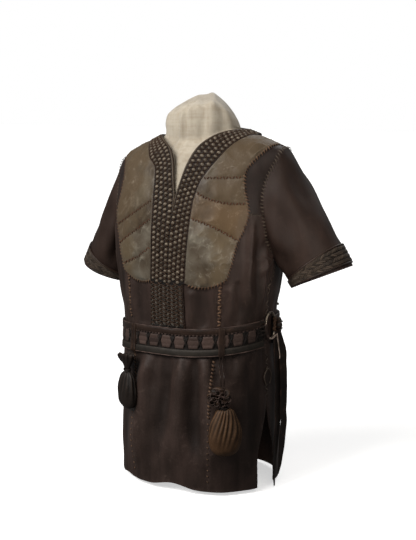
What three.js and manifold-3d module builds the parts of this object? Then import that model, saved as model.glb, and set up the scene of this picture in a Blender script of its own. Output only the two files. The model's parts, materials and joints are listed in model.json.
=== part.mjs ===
// A short-sleeved leather tunic with its own belt, on a limbless dress form.
// Millimetres, +Z up. The front faces -Y and the wearer's left is +X.
// The origin is the centre of the stand's base, on the surface that it stands on.
//
// Every piece of leather is a wall between two offsets of one body surface, so panels that are
// sewn together share their edge, and what lies on a panel is the same surface moved out.
import * as THREE from 'three';
import { mergeVertices } from 'three/addons/utils/BufferGeometryUtils.js';
import Module from 'manifold-3d';

const wasm = await Module();
wasm.setup();

// ---------------------------------------------------------------- driving dimensions
const LEATHER = 1.8;        // wall of the tunic's leather
const SEAM = 0.3;           // gap between two pieces that are sewn together
const LIFT = 0.9;           // air under a piece that lies on a panel
const TRIM = 1.8;           // wall of a piece that lies on a panel
const BRAID = 2.4;          // wall of a braid
const UNDERARM = 488;       // height of the side seam's top
const SHOULDER = 751;       // nominal height coordinate of the shoulder seam
const WAIST_CUT = 551;      // height coordinate of the seam under each yoke
const SLIT_TOP = 195;       // height of the side slits' upper end
const NECK_SLIT = 560;      // height coordinate of the neck opening's lower end
const BRAID_END = 440;      // height where the two neck braids end
const PLUMPNESS = 2.25;     // exponent of the body's rounded sections

// The body's rings below the arm: height, half width, half depth, y of the centre.
const BODY = [
  { z: 0, width: 174, depth: 138, centre: 0 },
  { z: 140, width: 173, depth: 136, centre: 0 },
  { z: 260, width: 170, depth: 130, centre: 0 },
  { z: 335, width: 168, depth: 125, centre: 0 },
  { z: 400, width: 172, depth: 128, centre: 0 },
  { z: 450, width: 178, depth: 133, centre: 1 },
  { z: 488, width: 184, depth: 136, centre: 2 },
];

// Above the arm the section widens, thins and closes on the shoulder seam.
const TOP = { width: 214, centre: 20, rise: 0.92, thin: 0.72, widen: 1.2 };
const NECK_POINT = { x: 95, z: 737 };
const SHOULDER_TIP = { x: 190, z: 698 };
const SHOULDER_TILT = 0.077;  // the wearer's left shoulder stands a little higher

// Seam of the sleeve: distance from the centre line at each height coordinate.
const ARMHOLE = [
  { h: 488, x: 184 }, { h: 505, x: 181 }, { h: 540, x: 177 }, { h: 580, x: 175 },
  { h: 612, x: 178 }, { h: 650, x: 186 }, { h: 700, x: 192 }, { h: 751, x: 193 },
];

// Seam between the front and the side front, and, above the yoke seam, the yoke's inner edge.
const FRONT_SEAM = [
  { h: 0, x: 89 }, { h: 286, x: 97 }, { h: 356, x: 105 }, { h: 435, x: 110 }, { h: 500, x: 122 },
  { h: 551, x: 136 }, { h: 600, x: 132 }, { h: 650, x: 138 }, { h: 700, x: 150 }, { h: 751, x: 158 },
];

// Below the neck opening: the front's middle line, and the outer edges of the two braids.
const FRONT_MIDDLE = [
  { h: 440, x: 0, braidRight: -40, braidLeft: 40 },
  { h: 480, x: 3, braidRight: -38, braidLeft: 43 },
  { h: 520, x: 7, braidRight: -37, braidLeft: 48 },
  { h: 560, x: 12, braidRight: -39, braidLeft: 53 },
];
// Beside it: the opening's edges on the wearer's right and left, and the braids' outer edges.
const NECKLINE = [
  { h: 560, right: 12, left: 12, braidRight: -39, braidLeft: 53 },
  { h: 590, right: 3, left: 22, braidRight: -43, braidLeft: 64 },
  { h: 612, right: -4, left: 29, braidRight: -50, braidLeft: 77 },
  { h: 635, right: -17, left: 37, braidRight: -70, braidLeft: 89 },
  { h: 670, right: -47, left: 55, braidRight: -88, braidLeft: 103 },
  { h: 700, right: -68, left: 72, braidRight: -102, braidLeft: 114 },
  { h: 730, right: -84, left: 87, braidRight: -112, braidLeft: 122 },
  { h: 751, right: -92, left: 92, braidRight: -118, braidLeft: 126 },
];
const BINDING = 8;                               // width of the strip along the opening
const BINDING_END = 534;                         // where the strips meet and stop
const BACK_NECK = { halfWidth: 92, low: 690 };   // the back neckline is half an ellipse
const BACK_BRAID = { halfWidth: 122, low: 646 };

// Chest patches: outer edge, and the heights of the seams at the inner and outer edge.
const PATCH_EDGE = [
  { h: 453, x: 122 }, { h: 486, x: 132 }, { h: 510, x: 140 }, { h: 533, x: 151 }, { h: 549, x: 155 },
  { h: 564, x: 154 }, { h: 590, x: 147 }, { h: 622, x: 144 }, { h: 650, x: 153 }, { h: 681, x: 164 },
  { h: 751, x: 178 },
];
const PATCH_SEAMS = [
  { side: 'left', inner: [442, 536, 572, 594, 751], outer: [453, 513, 568, 612, 751], sag: [-13, 4, -6, 0, 0] },
  { side: 'right', inner: [442, 500, 534, 559, 751], outer: [455, 466, 500, 527, 751], sag: [-11, 0, 0, 0, 0] },
];

// Sleeves: the head's outer corner, the underarm, and the hem's outer point and slope.
const SLEEVES = [
  { side: 'left', sign: 1, head: [213, 30, 675], under: [187, 10, 478], tip: [333, 30, 478], slope: 22.9 },
  { side: 'right', sign: -1, head: [-208, 30, 649], under: [-186, 10, 470], tip: [-312, 30, 446], slope: 18 },
];
const SLEEVE = { hemRadius: 66, hemDepth: 60, headDepth: 69, knots: [0, 0.2, 0.6, 1] };
const CUFF = { from: 0.83, to: 0.975, wall: 2.2 };

// Belt: height of its middle, and the offsets of its layers from the tunic.
const BELT = { width: 58, edge: 14, lift: LIFT, wall: 2, front: -14, rear: 2 };
const beltMiddle = (angle) => {
  const cosine = Math.cos(rad(angle));
  return 322 + 14 * cosine * Math.abs(cosine) + 5 * Math.sin(rad(angle));
};
const BELT_FACE = BELT.lift + BELT.wall;          // outer face of the belt's band
const BELT_STRIP = BELT_FACE + 0.6;               // inner face of the strips laced on it
const BELT_OUTSIDE = BELT_STRIP + 1.8;            // outermost face of the belt

const FORM = { bottom: 232, waistAir: 5.5, bodyAir: 8, shoulderAir: 2.9, topWidth: 187, neckBase: 84 };
const NECK_RINGS = [
  { z: 700, rx: 80, ry: 62, tilt: 0 }, { z: 742, rx: 80, ry: 61, tilt: 0 },
  { z: 762, rx: 73, ry: 58, tilt: 0.05 }, { z: 784, rx: 66, ry: 55, tilt: 0.15 },
  { z: 802, rx: 60, ry: 52, tilt: 0.24 }, { z: 809, rx: 55, ry: 48, tilt: 0.25 },
  { z: 812, rx: 46, ry: 40, tilt: 0.25 },
];
const NECK_CENTRE = 15;
const BASE = { halfWidth: 118, halfDepth: 74, thickness: 10 };

// ---------------------------------------------------------------- small helpers
const rad = (degrees) => (degrees * Math.PI) / 180;
const mix = (a, b, t) => a + (b - a) * t;
const clamp = (value, low, high) => Math.min(high, Math.max(low, value));
const smooth = (t) => t * t * (3 - 2 * t);

// A smooth cubic through the points (xs, ys), with slopes averaged from the neighbours.
function cubic(xs, ys, at) {
  const last = xs.length - 1;
  const x = clamp(at, xs[0], xs[last]);
  let i = 0;
  while (i < last - 1 && x >= xs[i + 1]) i += 1;
  const chord = (k) => (ys[k + 1] - ys[k]) / (xs[k + 1] - xs[k]);
  const slope = (k) => {
    if (k === 0) return chord(0);
    if (k === last) return chord(last - 1);
    const before = xs[k] - xs[k - 1];
    const after = xs[k + 1] - xs[k];
    return (chord(k - 1) * after + chord(k) * before) / (before + after);
  };
  const span = xs[i + 1] - xs[i];
  const t = (x - xs[i]) / span;
  return (2 * t ** 3 - 3 * t ** 2 + 1) * ys[i] + (t ** 3 - 2 * t ** 2 + t) * span * slope(i)
    + (3 * t ** 2 - 2 * t ** 3) * ys[i + 1] + (t ** 3 - t ** 2) * span * slope(i + 1);
}
const column = (table, key, value, at) => cubic(table.map((r) => r[key]), table.map((r) => r[value]), at);

// ---------------------------------------------------------------- the body surface
const shoulderLine = (x, flatWithin = 0) => {
  const slope = (NECK_POINT.z - SHOULDER_TIP.z) / (SHOULDER_TIP.x - NECK_POINT.x);
  return NECK_POINT.z - slope * (Math.max(Math.abs(x), flatWithin) - NECK_POINT.x) + SHOULDER_TILT * x;
};

// Section at height coordinate h: below the arm h is the height itself, and above it h runs
// from the underarm to the shoulder seam.
function section(h) {
  const low = Math.min(h, UNDERARM);
  const w = clamp((h - UNDERARM) / (SHOULDER - UNDERARM), 0, 1);
  const width = column(BODY, 'z', 'width', low);
  const centre = column(BODY, 'z', 'centre', low);
  return {
    low,
    w,
    width: mix(width, TOP.width, w ** TOP.widen),
    depth: column(BODY, 'z', 'depth', low) * Math.max(Math.cos((w * Math.PI) / 2), 0) ** TOP.thin,
    centre: mix(centre, TOP.centre, w),
    rise: w > 0 ? Math.sin((w * Math.PI) / 2) ** TOP.rise : 0,
  };
}

// Point at angle phi (degrees, -90 is the front's middle, 0 the wearer's left side).
function bodyPoint(phi, h) {
  const s = section(h);
  const c = Math.cos(rad(phi));
  const d = Math.sin(rad(phi));
  const radius = (Math.abs(c) ** PLUMPNESS + Math.abs(d) ** PLUMPNESS) ** (-1 / PLUMPNESS);
  const x = s.width * radius * c;
  const z = s.low + (shoulderLine(x) - UNDERARM) * s.rise;
  return new THREE.Vector3(x, s.centre + s.depth * radius * d, z);
}

// Angle of the point at distance x from the centre line, on the front (-1) or the back (+1).
function angleAt(x, h, face = -1) {
  const share = clamp(Math.abs(x) / section(h).width, 1e-6, 1);
  const tangent = (share ** -PLUMPNESS - 1) ** (1 / PLUMPNESS);
  const angle = (Math.atan(tangent) * 180) / Math.PI;
  return face * (x >= 0 ? angle : 180 - angle);
}

function bodyNormal(phi, h) {
  const up = Math.min(h + 0.5, SHOULDER);
  const along = bodyPoint(phi + 0.5, h).sub(bodyPoint(phi - 0.5, h));
  const rise = bodyPoint(phi, up).sub(bodyPoint(phi, h - 0.5));
  return along.cross(rise).normalize();
}
const onBody = (phi, h, out) => bodyPoint(phi, h).addScaledVector(bodyNormal(phi, h), out);

// ---------------------------------------------------------------- closed solids
function geometryOf(positions, triangles) {
  const geometry = new THREE.BufferGeometry();
  geometry.setAttribute('position', new THREE.Float32BufferAttribute(positions, 3));
  geometry.setIndex(triangles);
  return geometry;
}

function signedVolume(positions, triangles) {
  const at = (i) => new THREE.Vector3().fromArray(positions, 3 * i);
  let total = 0;
  for (let i = 0; i < triangles.length; i += 3) {
    total += at(triangles[i]).dot(at(triangles[i + 1]).cross(at(triangles[i + 2])));
  }
  return total / 6;
}

function solidOf(points, faces) {
  const positions = points.flatMap((p) => p.toArray());
  const triangles = [];
  for (const face of faces) {
    for (let k = 1; k < face.length - 1; k += 1) {
      const corner = [face[0], face[k], face[k + 1]];
      if (new Set(corner).size === 3) triangles.push(...corner);
    }
  }
  if (signedVolume(positions, triangles) < 0) triangles.reverse();
  return geometryOf(positions, triangles);
}

// A wall: each vertex has an outer and an inner point, and open edges are closed across.
function wallOf(outer, inner, faces) {
  const count = outer.length;
  const all = faces.map((face) => [...face]);
  const edges = new Set();
  for (const face of faces) {
    face.forEach((a, k) => {
      const b = face[(k + 1) % face.length];
      if (a !== b) edges.add(`${a}_${b}`);
    });
    all.push(face.map((i) => i + count).reverse());
  }
  for (const edge of edges) {
    const [a, b] = edge.split('_').map(Number);
    if (!edges.has(`${b}_${a}`)) all.push([b, a, a + count, b + count]);
  }
  return solidOf([...outer, ...inner], all);
}

const MATERIALS = {};
function material(slot, color, roughness, metalness = 0) {
  MATERIALS[slot] = new THREE.MeshStandardMaterial({ color, roughness, metalness });
  MATERIALS[slot].name = slot;
}
material('dark_leather', 0x40342e, 0.62);
material('chest_leather', 0x665a4a, 0.5);
material('braid_leather', 0x463d37, 0.55);
material('binding_leather', 0x7b6a5a, 0.6);
material('belt_leather', 0x352b26, 0.5);
material('pouch_leather', 0x6b4c33, 0.6);
material('linen', 0xb8ad9c, 0.95);
material('steel', 0x8d8a84, 0.35, 1);
material('stand_paint', 0x2b2b2c, 0.5, 0.3);

const tunic = new THREE.Group();
function add(name, geometry, slot) {
  const mesh = new THREE.Mesh(geometry, MATERIALS[slot]);
  mesh.name = name;
  tunic.add(mesh);
  return mesh;
}

// A piece of leather on a grid: place(u, v) gives the piece's angle and height coordinate, and
// its edges are drawn in by half a seam.
function leather(name, slot, { place, across, up, from, to, surface = onBody, closed = false }) {
  const columns = closed ? across : across + 1;
  const index = (i, j) => j * columns + (closed ? i % across : i);
  const spots = [];
  for (let j = 0; j <= up; j += 1) {
    for (let i = 0; i < columns; i += 1) spots.push(place(i / across, j / up));
  }
  const middle = spots.map(([a, b]) => surface(a, b, (from + to) / 2));
  const drawIn = spots.map(() => new THREE.Vector3());
  const pull = (here, there) => {
    drawIn[here].addScaledVector(middle[there].clone().sub(middle[here]).normalize(), SEAM / 2);
  };
  for (let i = 0; i < columns; i += 1) {
    pull(index(i, 0), index(i, 1));
    pull(index(i, up), index(i, up - 1));
  }
  if (!closed) {
    for (let j = 0; j <= up; j += 1) {
      pull(index(0, j), index(1, j));
      pull(index(across, j), index(across - 1, j));
    }
  }
  const wallPoints = (out) => spots.map(([a, b], k) => surface(a, b, out).add(drawIn[k]));
  const faces = [];
  for (let j = 0; j < up; j += 1) {
    for (let i = 0; i < across; i += 1) {
      faces.push([index(i, j), index(i + 1, j), index(i + 1, j + 1), index(i, j + 1)]);
    }
  }
  return add(name, wallOf(wallPoints(to), wallPoints(from), faces), slot);
}

// A piece whose place is given by x and the height coordinate, on the front or the back.
const facing = (face, at) => (u, v) => {
  const [x, h] = at(u, v);
  return [angleAt(x, h, face), h];
};
const panel = { from: -LEATHER, to: 0 };
const overlay = { from: LIFT, to: LIFT + TRIM };

// ---------------------------------------------------------------- hem, slits and rows
// The front's hem lifts in one soft wave at its middle, and the back hangs a little lower.
const wave = (phi, middle, spread) => Math.exp(-(((phi - middle) / spread) ** 2));
const hem = (phi) => 8 + 11 * wave(phi, -86, 13) + 5 * wave(phi, -130, 9) - 5 * wave(phi, 90, 45);

// Rows are closer where the shoulder turns over.
const UPPER_ROWS = [488, 496, 508, 526, 551, 582, 612, 641, 668, 692, 712, 728, 740, 751];
const LOWER_ROWS = [0, 0.12, 0.26, 0.4, 0.52, 0.61, 0.68, 0.75, 0.83, 0.915, 1];
const SIDE_SEAM = 8;      // degrees in front of the side
function sideEdge(h, face) {
  if (h >= UNDERARM) return 0;
  const seam = -SIDE_SEAM * (1 - smooth(clamp((h - 420) / (UNDERARM - 420), 0, 1)));
  const open = smooth(clamp((SLIT_TOP - h) / 140, 0, 1));
  return face < 0 ? seam - 12 * open : seam + 13 * open;
}
const armholeX = (h) => column(ARMHOLE, 'h', 'x', h);
const seamX = (h) => column(FRONT_SEAM, 'h', 'x', h);
const NECK_START = NECKLINE[0].h;
const neckX = (side, h) => (h <= NECK_START ? column(FRONT_MIDDLE, 'h', 'x', h) : column(NECKLINE, 'h', side, h));
const braidX = (side, h) => column(h <= NECK_START ? FRONT_MIDDLE : NECKLINE, 'h', side > 0 ? 'braidLeft' : 'braidRight', h);

// Height coordinate of row j of a piece that starts at the hem.
function rowHeight(j, phi) {
  const lower = LOWER_ROWS.length - 1;
  if (j <= lower) return mix(hem(phi), UNDERARM, LOWER_ROWS[j]);
  return UPPER_ROWS[j - lower];
}
const ALL_ROWS = LOWER_ROWS.length + UPPER_ROWS.length - 2;

// ---------------------------------------------------------------- tunic panels
// The front is cut in one, with a slit from the neck: its two halves share the middle vertices
// up to the slit's lower end.
function frontPanel() {
  const across = 4;
  const columns = 2 * across + 2;
  const outer = [];
  const inner = [];
  const slitRow = LOWER_ROWS.length - 1 + UPPER_ROWS.indexOf(WAIST_CUT);
  for (let j = 0; j <= ALL_ROWS; j += 1) {
    const plain = rowHeight(j, 0);
    for (let i = 0; i < columns; i += 1) {
      const sign = i <= across ? -1 : 1;
      const t = sign < 0 ? (across - i) / across : (i - across - 1) / across;
      const x = mix(neckX(sign < 0 ? 'right' : 'left', plain), sign * seamX(plain), t);
      const seam = j > slitRow && t === 0 ? -sign : 0;
      const phi = angleAt(x - (t === 1 ? (sign * SEAM) / 2 : (seam * SEAM) / 2), plain);
      const h = rowHeight(j, phi);
      const back = j === ALL_ROWS ? -SEAM / 2 : 0;
      outer.push(onBody(phi, h, 0).add(new THREE.Vector3(0, back, 0)));
      inner.push(onBody(phi, h, -LEATHER).add(new THREE.Vector3(0, back, 0)));
    }
  }
  const index = (i, j) => {
    const shared = i === across + 1 && j <= slitRow ? across : i;
    return j * columns + shared;
  };
  const faces = [];
  for (let j = 0; j < ALL_ROWS; j += 1) {
    for (let i = 0; i < columns - 1; i += 1) {
      if (i !== across) faces.push([index(i, j), index(i + 1, j), index(i + 1, j + 1), index(i, j + 1)]);
    }
  }
  const used = [...new Set(faces.flat())];
  const renumber = new Map(used.map((old, k) => [old, k]));
  add('front', wallOf(
    used.map((k) => outer[k]),
    used.map((k) => inner[k]),
    faces.map((face) => face.map((k) => renumber.get(k))),
  ), 'dark_leather');
}
frontPanel();

const sideRows = LOWER_ROWS.length - 1 + UPPER_ROWS.indexOf(WAIST_CUT);
for (const { side, sign } of SLEEVES) {
  const toSide = (h) => (h < UNDERARM ? sideEdge(h, -1) : angleAt(armholeX(h), h));
  const turn = (phi) => (sign > 0 ? phi : -180 - phi);
  leather(`side_front_${side}`, 'dark_leather', {
    ...panel,
    across: 4,
    up: sideRows,
    place: (u, v) => {
      const row = Math.round(v * sideRows);
      const t = sign > 0 ? u : 1 - u;
      const plain = rowHeight(row, 0);
      const phi = mix(angleAt(seamX(plain), plain), toSide(plain), t);
      return [turn(phi), rowHeight(row, turn(phi))];
    },
  });
  const yokeRows = UPPER_ROWS.filter((h) => h >= WAIST_CUT);
  leather(`yoke_${side}`, 'dark_leather', {
    ...panel,
    across: 3,
    up: yokeRows.length - 1,
    place: (u, v) => {
      const h = yokeRows[Math.round(v * (yokeRows.length - 1))];
      const t = sign > 0 ? u : 1 - u;
      return [angleAt(sign * mix(seamX(h), armholeX(h), t), h), h];
    },
  });
}

// The back is cut in one. Its columns are even below the arm, and at the top one column falls
// on each end of the neckline.
const BACK_COLUMNS = [193, 160, 126, 92, 62, 31, 0, -31, -62, -92, -126, -160, -193];
const backNeck = (x) => {
  const share = clamp(Math.abs(x) / BACK_NECK.halfWidth, 0, 1);
  return SHOULDER - (SHOULDER - BACK_NECK.low) * Math.sqrt(1 - share ** 2);
};
leather('back', 'dark_leather', {
  ...panel,
  across: BACK_COLUMNS.length - 1,
  up: ALL_ROWS,
  place: (u, v) => {
    const row = Math.round(v * ALL_ROWS);
    const nominal = rowHeight(row, 0);
    const w = section(nominal).w;
    const left = nominal < UNDERARM ? sideEdge(nominal, 1) : angleAt(armholeX(nominal), nominal, 1);
    const topLeft = angleAt(BACK_COLUMNS[0], SHOULDER, 1);
    const top = angleAt(BACK_COLUMNS[Math.round(u * (BACK_COLUMNS.length - 1))], SHOULDER, 1);
    const share = mix(u, (top - topLeft) / (180 - 2 * topLeft), w);
    const phi = mix(left, 180 - left, share);
    const dip = (SHOULDER - backNeck(BACK_COLUMNS[Math.round(u * (BACK_COLUMNS.length - 1))]))
      * smooth(clamp((nominal - 600) / (SHOULDER - 600), 0, 1));
    return [phi, nominal - dip];
  },
});

// ---------------------------------------------------------------- sleeves and cuffs
function armholePlace(theta, sign) {
  const share = (1 - Math.cos(rad(theta))) / 2;
  const w = (2 / Math.PI) * Math.asin(share ** (1 / TOP.rise));
  const h = mix(UNDERARM, SHOULDER, w);
  return [angleAt(sign * armholeX(h), h, theta < 180 ? -1 : 1), h];
}

// Sleeve surface: t runs from the armhole to the hem, theta from the underarm round the front.
function sleevePoint(sleeve, t, theta) {
  const { sign } = sleeve;
  const turn = ((theta % 360) + 360) % 360;
  const head = new THREE.Vector3(...sleeve.head);
  const under = new THREE.Vector3(...sleeve.under);
  const tip = new THREE.Vector3(...sleeve.tip);
  const slope = new THREE.Vector3(sign * Math.cos(rad(sleeve.slope)), 0, Math.sin(rad(sleeve.slope)));
  const hemCentre = tip.clone().addScaledVector(slope, -SLEEVE.hemRadius);
  const headRing = head.clone().add(under).multiplyScalar(0.5)
    .addScaledVector(head.clone().sub(under), -Math.cos(rad(turn)) / 2)
    .add(new THREE.Vector3(0, -SLEEVE.headDepth * Math.sin(rad(turn)), 0));
  const hemRing = hemCentre.clone()
    .addScaledVector(slope, -SLEEVE.hemRadius * Math.cos(rad(turn)))
    .add(new THREE.Vector3(0, -SLEEVE.hemDepth * Math.sin(rad(turn)), 0));
  const rings = [bodyPoint(...armholePlace(turn, sign)), headRing, headRing.clone().lerp(hemRing, 0.5), hemRing];
  const axis = (k) => cubic(SLEEVE.knots, rings.map((r) => r.getComponent(k)), t);
  return new THREE.Vector3(axis(0), axis(1), axis(2));
}

// At the armhole a sleeve's wall stands on the panels' normal, so that both edges lie together.
function onSleeve(sleeve) {
  return (theta, t, out) => {
    if (t === 0) return onBody(...armholePlace(theta, sleeve.sign), out);
    const step = 0.01;
    const low = Math.max(t - step, 0);
    const high = Math.min(t + step, 1);
    const round = sleevePoint(sleeve, t, theta + 2).sub(sleevePoint(sleeve, t, theta - 2));
    const along = sleevePoint(sleeve, high, theta).sub(sleevePoint(sleeve, low, theta));
    const normal = round.cross(along).normalize().multiplyScalar(-sleeve.sign);
    return sleevePoint(sleeve, t, theta).addScaledVector(normal, out);
  };
}

// A column of the sleeve starts at each row of the panels round the armhole.
const rowTurn = (h) => {
  const { rise } = section(h);
  return (Math.acos(clamp(1 - 2 * rise, -1, 1)) * 180) / Math.PI;
};
const FRONT_TURNS = UPPER_ROWS.map(rowTurn);
const TURNS = [...FRONT_TURNS, ...FRONT_TURNS.slice(1, -1).reverse().map((turn) => 360 - turn)];
const SLEEVE_ROWS = [0, 0.07, 0.14, 0.22, 0.32, 0.45, 0.6, 0.8, 1];
for (const sleeve of SLEEVES) {
  leather(`sleeve_${sleeve.side}`, 'dark_leather', {
    ...panel,
    surface: onSleeve(sleeve),
    closed: true,
    across: TURNS.length,
    up: SLEEVE_ROWS.length - 1,
    place: (u, v) => [TURNS[Math.round(u * TURNS.length)], SLEEVE_ROWS[Math.round(v * (SLEEVE_ROWS.length - 1))]],
  });
  leather(`cuff_${sleeve.side}`, 'braid_leather', {
    from: LIFT,
    to: LIFT + CUFF.wall,
    surface: onSleeve(sleeve),
    closed: true,
    across: TURNS.length,
    up: 2,
    place: (u, v) => [TURNS[Math.round(u * TURNS.length)], mix(CUFF.from, CUFF.to, v)],
  });
}

// ---------------------------------------------------------------- chest patches
// The braids and the patches beside them share rows, so that their edges run together.
const TOP_ROWS = [576, 594, 612, 635, 660, 684, 704, 722, 738, SHOULDER];
function neckRows(seams) {
  const rows = [BRAID_END];
  for (let k = 0; k < seams.length - 2; k += 1) {
    const count = Math.max(3, Math.ceil((seams[k + 1] - seams[k]) / 24));
    for (let i = 0; i < count; i += 1) rows.push(mix(seams[k], seams[k + 1], i / count));
  }
  const last = seams.at(-2);
  return [...rows, last, ...TOP_ROWS.filter((h) => h > last + 7)];
}

for (const { side, inner, outer, sag } of PATCH_SEAMS) {
  const sign = side === 'left' ? 1 : -1;
  const rows = neckRows(inner);
  for (let k = 0; k < inner.length - 1; k += 1) {
    const seamAt = (row, t) => mix(inner[row], outer[row], t) + 4 * sag[row] * t * (1 - t);
    const own = rows.filter((h) => h >= inner[k] && h <= inner[k + 1]);
    leather(`chest_patch_${side}_${k + 1}`, 'chest_leather', {
      ...overlay,
      across: 5,
      up: own.length - 1,
      place: facing(-1, (u, v) => {
        const t = sign > 0 ? u : 1 - u;
        const row = own[Math.round(v * (own.length - 1))];
        const h = mix(seamAt(k, t), seamAt(k + 1, t), (row - inner[k]) / (inner[k + 1] - inner[k]));
        return [mix(braidX(sign, h), sign * column(PATCH_EDGE, 'h', 'x', h), t), h];
      }),
    });
  }
}

// ---------------------------------------------------------------- neck bindings and braids
for (const { side, inner } of PATCH_SEAMS) {
  const sign = side === 'left' ? 1 : -1;
  const rows = neckRows(inner);
  const width = (h) => BINDING * smooth(clamp((h - BINDING_END) / (NECK_START - BINDING_END), 0.06, 1));
  const bindingEdge = (h) => (h < BINDING_END ? neckX(side, h) : neckX(side, h) + sign * width(h));
  const strip = (name, slot, own, near, far, wall) => leather(name, slot, {
    from: LIFT,
    to: LIFT + wall,
    across: 2,
    up: own.length - 1,
    place: facing(-1, (u, v) => {
      const h = own[Math.round(v * (own.length - 1))];
      const t = sign > 0 ? u : 1 - u;
      return [mix(near(h), far(h), t), h];
    }),
  });
  strip(`neck_binding_${side}`, 'binding_leather', rows.filter((h) => h >= BINDING_END),
    (h) => neckX(side, h), bindingEdge, TRIM);
  strip(`neck_braid_${side}`, 'braid_leather', rows, bindingEdge, (h) => braidX(sign, h), BRAID);
}

// Round the back of the neck both strips follow the neckline's half ellipse.
function backStrip(name, slot, near, far, wall) {
  leather(name, slot, {
    from: LIFT,
    to: LIFT + wall,
    across: 16,
    up: 2,
    place: facing(1, (u, v) => {
      const halfWidth = mix(far.halfWidth, near.halfWidth, v);
      const low = mix(far.low, near.low, v);
      const angle = rad(180 * u);
      return [halfWidth * Math.cos(angle), SHOULDER - (SHOULDER - low) * Math.sin(angle)];
    }),
  });
}
const bindingRing = { halfWidth: BACK_NECK.halfWidth + BINDING, low: BACK_NECK.low - BINDING };
backStrip('neck_binding_back', 'binding_leather', BACK_NECK, bindingRing, TRIM);
backStrip('neck_braid_back', 'braid_leather', bindingRing, BACK_BRAID, BRAID);

// The darker braid below runs on to the belt.
leather('belly_braid', 'braid_leather', {
  from: LIFT,
  to: LIFT + 2.2,
  across: 4,
  up: 4,
  place: facing(-1, (u, v) => {
    const half = mix(42, 38, v);
    const x = mix(-half, half, u) - mix(4, 2, v);
    return [x, mix(beltMiddle(angleAt(x, 350)) + BELT.width / 2 + 1.2, BRAID_END - 0.4, v)];
  }),
});

// A small pointed tab strengthens the top of each side slit.
const TAB = { middle: -7, half: 6.5, top: 258, wide: 241, bottom: 223 };
for (const { side, sign } of SLEEVES) {
  leather(`slit_tab_${side}`, 'dark_leather', {
    ...overlay,
    across: 4,
    up: 4,
    place: (u, v) => {
      const share = v < 0.5 ? mix(0.45, 1, 2 * v) : mix(1, 0.08, 2 * v - 1);
      const h = v < 0.5 ? mix(TAB.bottom, TAB.wide, 2 * v) : mix(TAB.wide, TAB.top, 2 * v - 1);
      const phi = TAB.middle + TAB.half * share * (2 * u - 1);
      return [sign > 0 ? phi : -180 - phi, h];
    },
  });
}

// ---------------------------------------------------------------- belt
const beltArc = { start: BELT.front, end: BELT.rear - 360 };
function beltLayer(name, low, high, from, to) {
  leather(name, 'belt_leather', {
    from,
    to,
    across: 40,
    up: 2,
    place: (u, v) => {
      const phi = mix(beltArc.end, beltArc.start, u);
      return [phi, beltMiddle(phi) + mix(low, high, v)];
    },
  });
}
const beltHalf = BELT.width / 2;
beltLayer('belt_band', -beltHalf, beltHalf, BELT.lift, BELT_FACE);
beltLayer('belt_upper_strip', beltHalf - BELT.edge, beltHalf, BELT_STRIP, BELT_OUTSIDE);
beltLayer('belt_lower_strip', -beltHalf, BELT.edge - beltHalf, BELT_STRIP, BELT_OUTSIDE);
beltLayer('belt_laced_strip', BELT.edge - beltHalf + 1, beltHalf - BELT.edge - 1, BELT_STRIP, BELT_OUTSIDE - 0.4);

// Hangers: flat loops over the belt that carry the two pouches.
const HANGER_FACE = BELT_OUTSIDE + 0.7;
const HANGERS = [
  { name: 'belt_hanger_front', phi: -51, width: 11, below: 1.5 },
  { name: 'belt_hanger_side', phi: -122.5, width: 16, below: 1 },
];
const hangerFoot = ({ phi, below }) => beltMiddle(phi) - beltHalf - below;
for (const hanger of HANGERS) {
  const { name, phi, width } = hanger;
  const half = (width / 2 / 150) * (180 / Math.PI);
  const top = beltMiddle(phi) + beltHalf + 1;
  const bottom = hangerFoot(hanger);
  leather(name, 'belt_leather', {
    from: HANGER_FACE,
    to: HANGER_FACE + TRIM,
    across: 2,
    up: 4,
    place: (u, v) => [mix(phi - half, phi + half, u), mix(bottom, top, v)],
  });
}

// A closed ring along a closed path, with a round section.
function ringSolid(path, thickness, steps, sides) {
  const points = [];
  for (let i = 0; i < steps; i += 1) {
    const at = path(i / steps);
    const along = path((i + 0.5) / steps).sub(path((i - 0.5) / steps)).normalize();
    const outward = new THREE.Vector3(1, 0, 0);
    const beside = along.clone().cross(outward).normalize();
    for (let k = 0; k < sides; k += 1) {
      const turn = (2 * Math.PI * k) / sides;
      points.push(at.clone().addScaledVector(outward, (Math.cos(turn) * thickness) / 2)
        .addScaledVector(beside, (Math.sin(turn) * thickness) / 2));
    }
  }
  const faces = [];
  for (let i = 0; i < steps; i += 1) {
    const next = (i + 1) % steps;
    for (let k = 0; k < sides; k += 1) {
      const side = (k + 1) % sides;
      faces.push([i * sides + k, next * sides + k, next * sides + side, i * sides + side]);
    }
  }
  return solidOf(points, faces);
}

// The ring stands against the wearer's left side, between the belt's two ends.
const RING = { x: 175.3, y: -12, z: 348, halfHeight: 27.5, halfWidth: 19, wire: 4.4, lean: 0.084 };
const ringPath = (t) => {
  const turn = 2 * Math.PI * t;
  const across = RING.halfWidth * Math.cos(turn);
  return new THREE.Vector3(RING.x + RING.lean * across, RING.y + across, RING.z + RING.halfHeight * Math.sin(turn));
};
add('belt_ring', ringSolid(ringPath, RING.wire, 28, 8), 'steel');

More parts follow.
